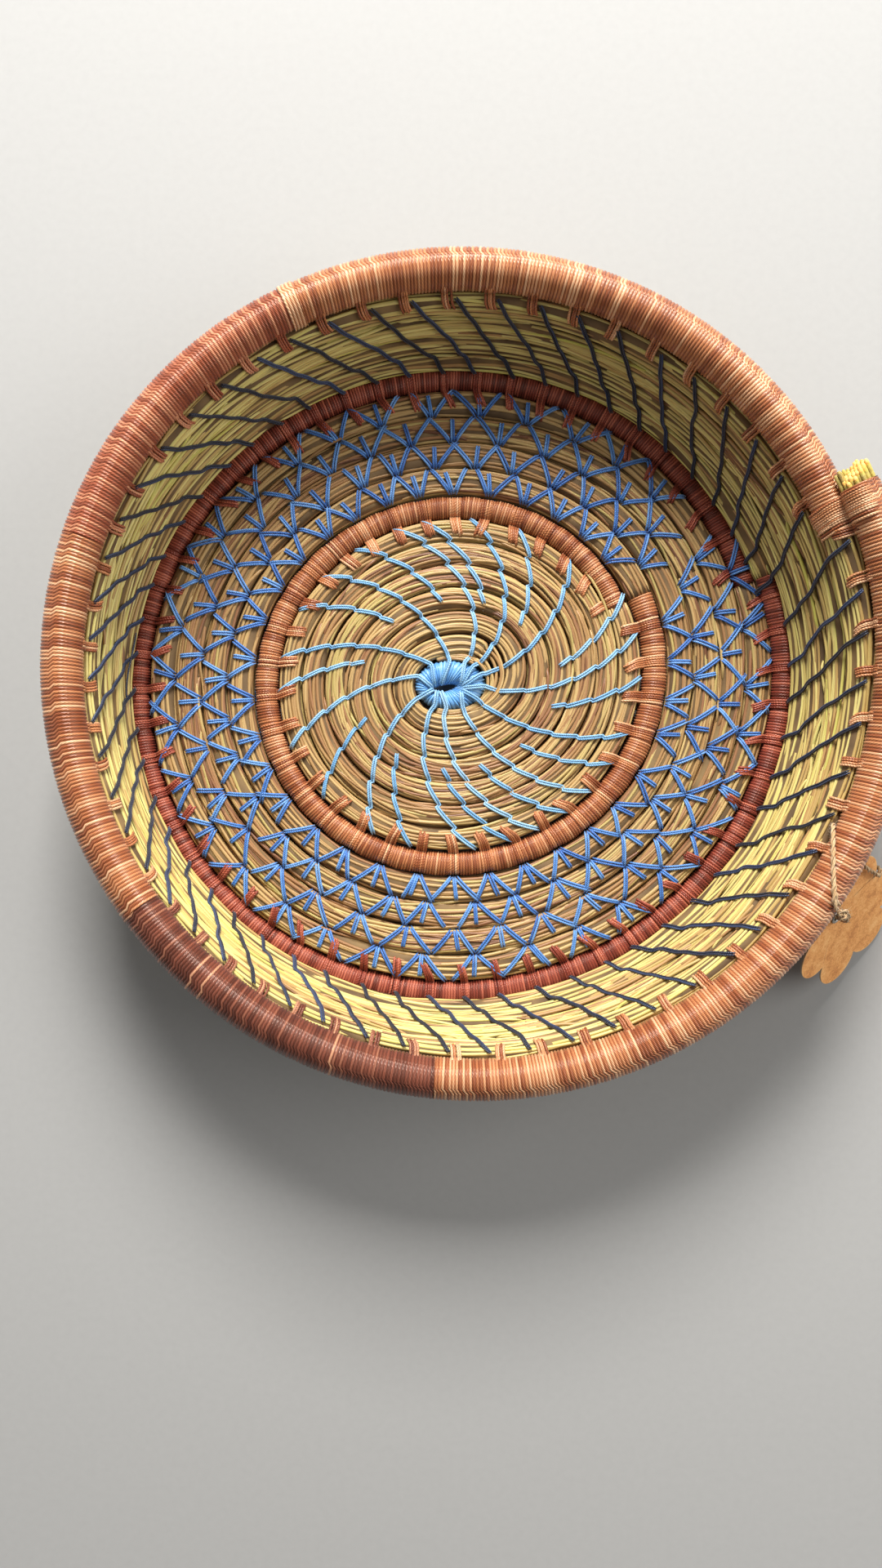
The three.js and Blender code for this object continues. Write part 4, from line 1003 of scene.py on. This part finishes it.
# From 2 mm inside the seam below the rim, over the rim and down to the knot, where its two yarns part
share = np.linspace(0, 1, 15)
twine_clear = RIM_RADIUS + SEAT_GAP + TWINE / 2
knot_reach = np.degrees((KNOT_RADIUS + SEAT_GAP + TWINE / 2) / twine_clear)
azimuths = TWINE_START_ANGLE + (TAG_ANGLE - TWINE_START_ANGLE) * smooth(share)
angles = TWINE_SEAM_ANGLE + (KNOT_ANGLE + knot_reach - TWINE_SEAM_ANGLE) * share
azimuths, angles = np.append(azimuths[0], azimuths), np.append(TWINE_SEAM_ANGLE + INSIDE_SEAM, angles)
over_rim = through(around_rim(azimuths, twine_clear, angles)[None], 60)[0]
over, over_line = plies(over_rim, 0.72, 6.0)
second = over_rim[34:] + ROUND_IT * np.linspace(0.2, 1.5, 26)[:, None]
beside, _ = plies(second, 0.5, 5.0)
tie, tie_line = plies(tied_knot(), 0.5, 3.0)
knot = mesh_piece("twine_knot_tied", join(tie, hairs(tie_line, 60, 2.4)), jute, "basket",
                  "twine_knot")
twine_over = mesh_piece("twine_over_the_rim", join(over, beside, hairs(over_line, 150, 2.2)), jute,
                        "basket", "twine_over_rim")

# From under the knot through the eyelet, behind the tag, round its edge at the notch and over one lobe
drop = EYELET - KNOT
top = KNOT + drop * (KNOT_RADIUS + SEAT_GAP) / np.linalg.norm(drop)
off = TWINE * 1.4
clear = TAG_THICKNESS / 2 + SEAT_GAP + TWINE / 2
middle_down = TAG_MIDDLE * np.cos(np.radians(TAG_TWIST))
middle_round = TAG_MIDDLE * np.sin(np.radians(TAG_TWIST))
notch_down = middle_down + NOTCH_RADIUS * np.cos(np.radians(NOTCH_ANGLE))
notch_round = middle_round + NOTCH_RADIUS * np.sin(np.radians(NOTCH_ANGLE))
loop_points = np.array([
    top,
    (top + EYELET) / 2 + OUT * off + UP * off / 2,
    on_tag([0, 0, off]),
    on_tag([0, 0, 0]),
    on_tag([0, 0, -off]),
    on_tag([notch_down * 0.5, notch_round * 0.5, -clear * 1.2]),
    on_tag([notch_down * 0.95, notch_round + clear * 0.4, -clear * 1.2]),
    on_tag([notch_down * 0.95, notch_round + clear * 1.9, 0]),
    on_tag([notch_down * 0.85, notch_round + clear * 0.4, clear * 1.35]),
    on_tag([-clear * 1.4, notch_round - clear * 0.4, clear * 1.5]),
    on_tag([-clear * 5.6, notch_round - clear * 0.6, clear * 0.9]),
    around_rim(np.array(LOOP_END_ANGLE), RIM_RADIUS + 2 * SEAT_GAP + TWINE / 2, LOOP_END_TURN),
])
loop, loop_line = plies(through(loop_points[None], 110)[0], 0.68, 4.6)
beside_loop = loop_points[:3] + ROUND_IT * np.array([[1.5], [1.2], [0.5]])
twin, twin_line = plies(through(beside_loop[None], 24)[0], 0.5, 5.0)
loop_hairs = join(hairs(loop_line, 170, 2.1), hairs(twin_line, 50, 1.4))
tag_loop = mesh_piece("tag_loop_twine", join(loop, twin, loop_hairs), jute, "tag", "tag_loop")


def card_material():
    """Uncoated kraft board: short fibres in two browns, blotches 5 mm across and flecks of 0.6 mm, and a
    paler cut edge, where the tone is 1."""
    material, tree = new_tree("uncoated_kraft_board")
    place = add(tree, "TexCoord").outputs["Object"]
    cloud = add(tree, "TexNoise", [("Vector", place)], Scale=190.0, Detail=6.0, Roughness=0.7).outputs["Fac"]
    fleck = add(tree, "TexNoise", [("Vector", place)], Scale=1600.0, Detail=3.0, Roughness=0.6).outputs["Fac"]
    tone = add(tree, "Attribute", attribute_name="tone").outputs["Fac"]
    mottled = shifted(tree, cloud, fleck, 0.6)
    face = ramp(tree, mottled, [(0.3, "#c68044"), (0.5, "#e6a05a"), (0.7, "#f4ba76")])
    edge = ramp(tree, cloud, [(0.3, "#d9b687"), (0.7, "#ecd0a6")])
    colour = add(tree, "Mix", [(0, tone), (6, face), (7, edge)], data_type="RGBA").outputs[2]
    relief = add(tree, "Bump", [("Height", fleck)], Strength=0.35, Distance=0.0002).outputs["Normal"]
    shader = add(tree, "BsdfPrincipled", [("Base Color", colour), ("Normal", relief)], Roughness=0.85)
    add(tree, "OutputMaterial", [("Surface", shader.outputs[0])])
    return material


def tag_card():
    """Six-lobed card with a round hole. From the middle a lobe's outline is at the distance
    reach cos a + sqrt(radius^2 - (reach sin a)^2), a being the angle from the lobe's own direction. Rings
    run from the hole's edge out to it on the front, over the cut edge and back in on the back."""
    around, half = 180, 0.22
    angle = np.arange(around) / around * 2 * np.pi
    aside = (angle - np.radians(TAG_TWIST) + np.pi / 6) % (np.pi / 3) - np.pi / 6
    r = LOBE_REACH * np.cos(aside) + np.sqrt(LOBE_RADIUS ** 2 - (LOBE_REACH * np.sin(aside)) ** 2)
    edge = np.stack([middle_down + r * np.cos(angle), middle_round + r * np.sin(angle)], 1)
    hole = 1.75 * np.stack([np.cos(angle), np.sin(angle)], 1)
    out_from_hole = np.array([0, 0.08, 0.2, 0.4, 0.6, 0.8, 0.95, 0.995, 1.0])
    shares = np.concatenate([out_from_hole, out_from_hole[::-1]])
    flat = hole + (edge - hole) * shares[:, None, None]
    faces = np.repeat([half, -half], len(out_from_hole))[:, None]
    bow = 0.5 * np.sin((flat[..., 0] - 4) / 14) * np.sin((flat[..., 1] + 3) / 12)
    rings = on_tag(np.concatenate([flat, (faces + bow)[..., None]], -1))
    rings = np.concatenate([rings, rings[:1]])
    tone = np.append(shares > 0.999, False).astype(float)
    return skins(rings[None], tone[None], capped=False)


def eyelet_material():
    """Nickel-plated brass, dull and finely scratched from setting: spots of about a millimetre differ in
    brightness and polish."""
    material, tree = new_tree("dull_nickel_plate")
    place = add(tree, "TexCoord").outputs["Object"]
    noise = add(tree, "TexNoise", [("Vector", place)], Scale=900.0, Detail=4.0).outputs["Fac"]
    colour = ramp(tree, noise, [(0.3, "#8f8a82"), (0.7, "#b8b3aa")])
    rough = add(tree, "MapRange", [("Value", noise)], To_Min=0.3, To_Max=0.5).outputs[0]
    shader = add(tree, "BsdfPrincipled", [("Base Color", colour), ("Roughness", rough)], Metallic=1.0)
    add(tree, "OutputMaterial", [("Surface", shader.outputs[0])])
    return material


def eyelet():
    """Rolled eyelet: half a profile (radius, height) and its mirror image, turned about the hole."""
    around = 40
    profile = np.array([[1.25, 0.0], [1.25, 0.45], [1.4, 0.72], [1.75, 0.82], [2.15, 0.72], [2.3, 0.5],
                        [2.1, 0.4], [1.62, 0.3], [1.6, 0.0]])
    profile = np.concatenate([profile, (profile * [1, -1])[-2:0:-1]])
    angle = np.arange(around + 1)[:, None] / around * 2 * np.pi
    radius, height = profile.T
    rings = np.stack([radius * np.cos(angle), radius * np.sin(angle), height + 0 * angle], -1)
    return skins(on_tag(rings)[None], 0.0, capped=False)


mesh_piece("tag_card_scalloped", tag_card(), card_material(), "tag", "tag_card")
mesh_piece("tag_eyelet_rolled", eyelet(), eyelet_material(), "tag", "tag_eyelet")


# Set

def plain_floor():
    """Pale studio paper under and behind the basket, flat and matt."""
    size = 6000.0
    below = 0.05
    square = size * np.array([[-1, -1], [1, -1], [1, 1], [-1, 1]])
    corners = np.column_stack([square, np.full(4, -below)])
    mesh = bpy.data.meshes.new("pale_floor")
    mesh.from_pydata((corners * METRES).tolist(), [], [(0, 1, 2, 3)])
    floor = bpy.data.objects.new("pale_floor", mesh)
    bpy.context.scene.collection.objects.link(floor)
    material, tree = new_tree("pale_studio_paper")
    place = add(tree, "TexCoord").outputs["Object"]
    grain = add(tree, "TexNoise", [("Vector", place)], Scale=400.0, Detail=3.0).outputs["Fac"]
    colour = ramp(tree, grain, [(0.0, "#a3a19d"), (1.0, "#a9a7a3")])
    shader = add(tree, "BsdfPrincipled", [("Base Color", colour)], Roughness=0.9)
    add(tree, "OutputMaterial", [("Surface", shader.outputs[0])])
    mesh.materials.append(material)


def turned_at(axes, place):
    """Matrix of an object whose own axes are given, at a place in metres."""
    rows = [[*(axis[k] for axis in axes), place[k]] for k in range(3)]
    return Matrix(rows + [[0, 0, 0, 1]])


def lamp(name, place, power, size):
    """Soft square lamp that faces the basket's middle."""
    light = bpy.data.lights.new(name, "AREA")
    light.energy, light.size = power, size
    holder = bpy.data.objects.new(name, light)
    bpy.context.scene.collection.objects.link(holder)
    z = unit(np.array(place, float) - [0, 0, 0.02])
    x = unit(np.cross([0.0, 1.0, 0.001], z))
    holder.matrix_world = turned_at((x, np.cross(z, x), z), place)


plain_floor()
lamp("key", (-0.06, 0.96, 0.71), 31.0, 0.45)
lamp("fill", (0.95, 0.1, 0.62), 8.5, 0.9)
lamp("left_fill", (-0.95, 0.1, 0.62), 2.5, 0.9)
world = bpy.data.worlds.new("studio")
bpy.context.scene.world = world
world.use_nodes = True
world.node_tree.nodes["Background"].inputs["Color"].default_value = linear("#f4f6fa")
world.node_tree.nodes["Background"].inputs["Strength"].default_value = 0.15

# Camera where the photograph was taken from, 377 mm over the table and nearly straight down
camera = bpy.data.cameras.new("photo_view")
camera.lens, camera.sensor_width = 26.25, 36.0
camera.clip_start = 0.01
holder = bpy.data.objects.new("photo_view", camera)
bpy.context.scene.collection.objects.link(holder)
eye = (np.array([-3.936, -35.185, 377.005]) - AXIS_SHIFT) * METRES
right = np.array([1, 0, -0.00087667])
back = np.array([0.00087667, -0.00300604, 0.9999951])
holder.matrix_world = turned_at((right, np.cross(back, right), back), eye)
bpy.context.scene.camera = holder
bpy.context.scene.view_settings.view_transform = "Standard"
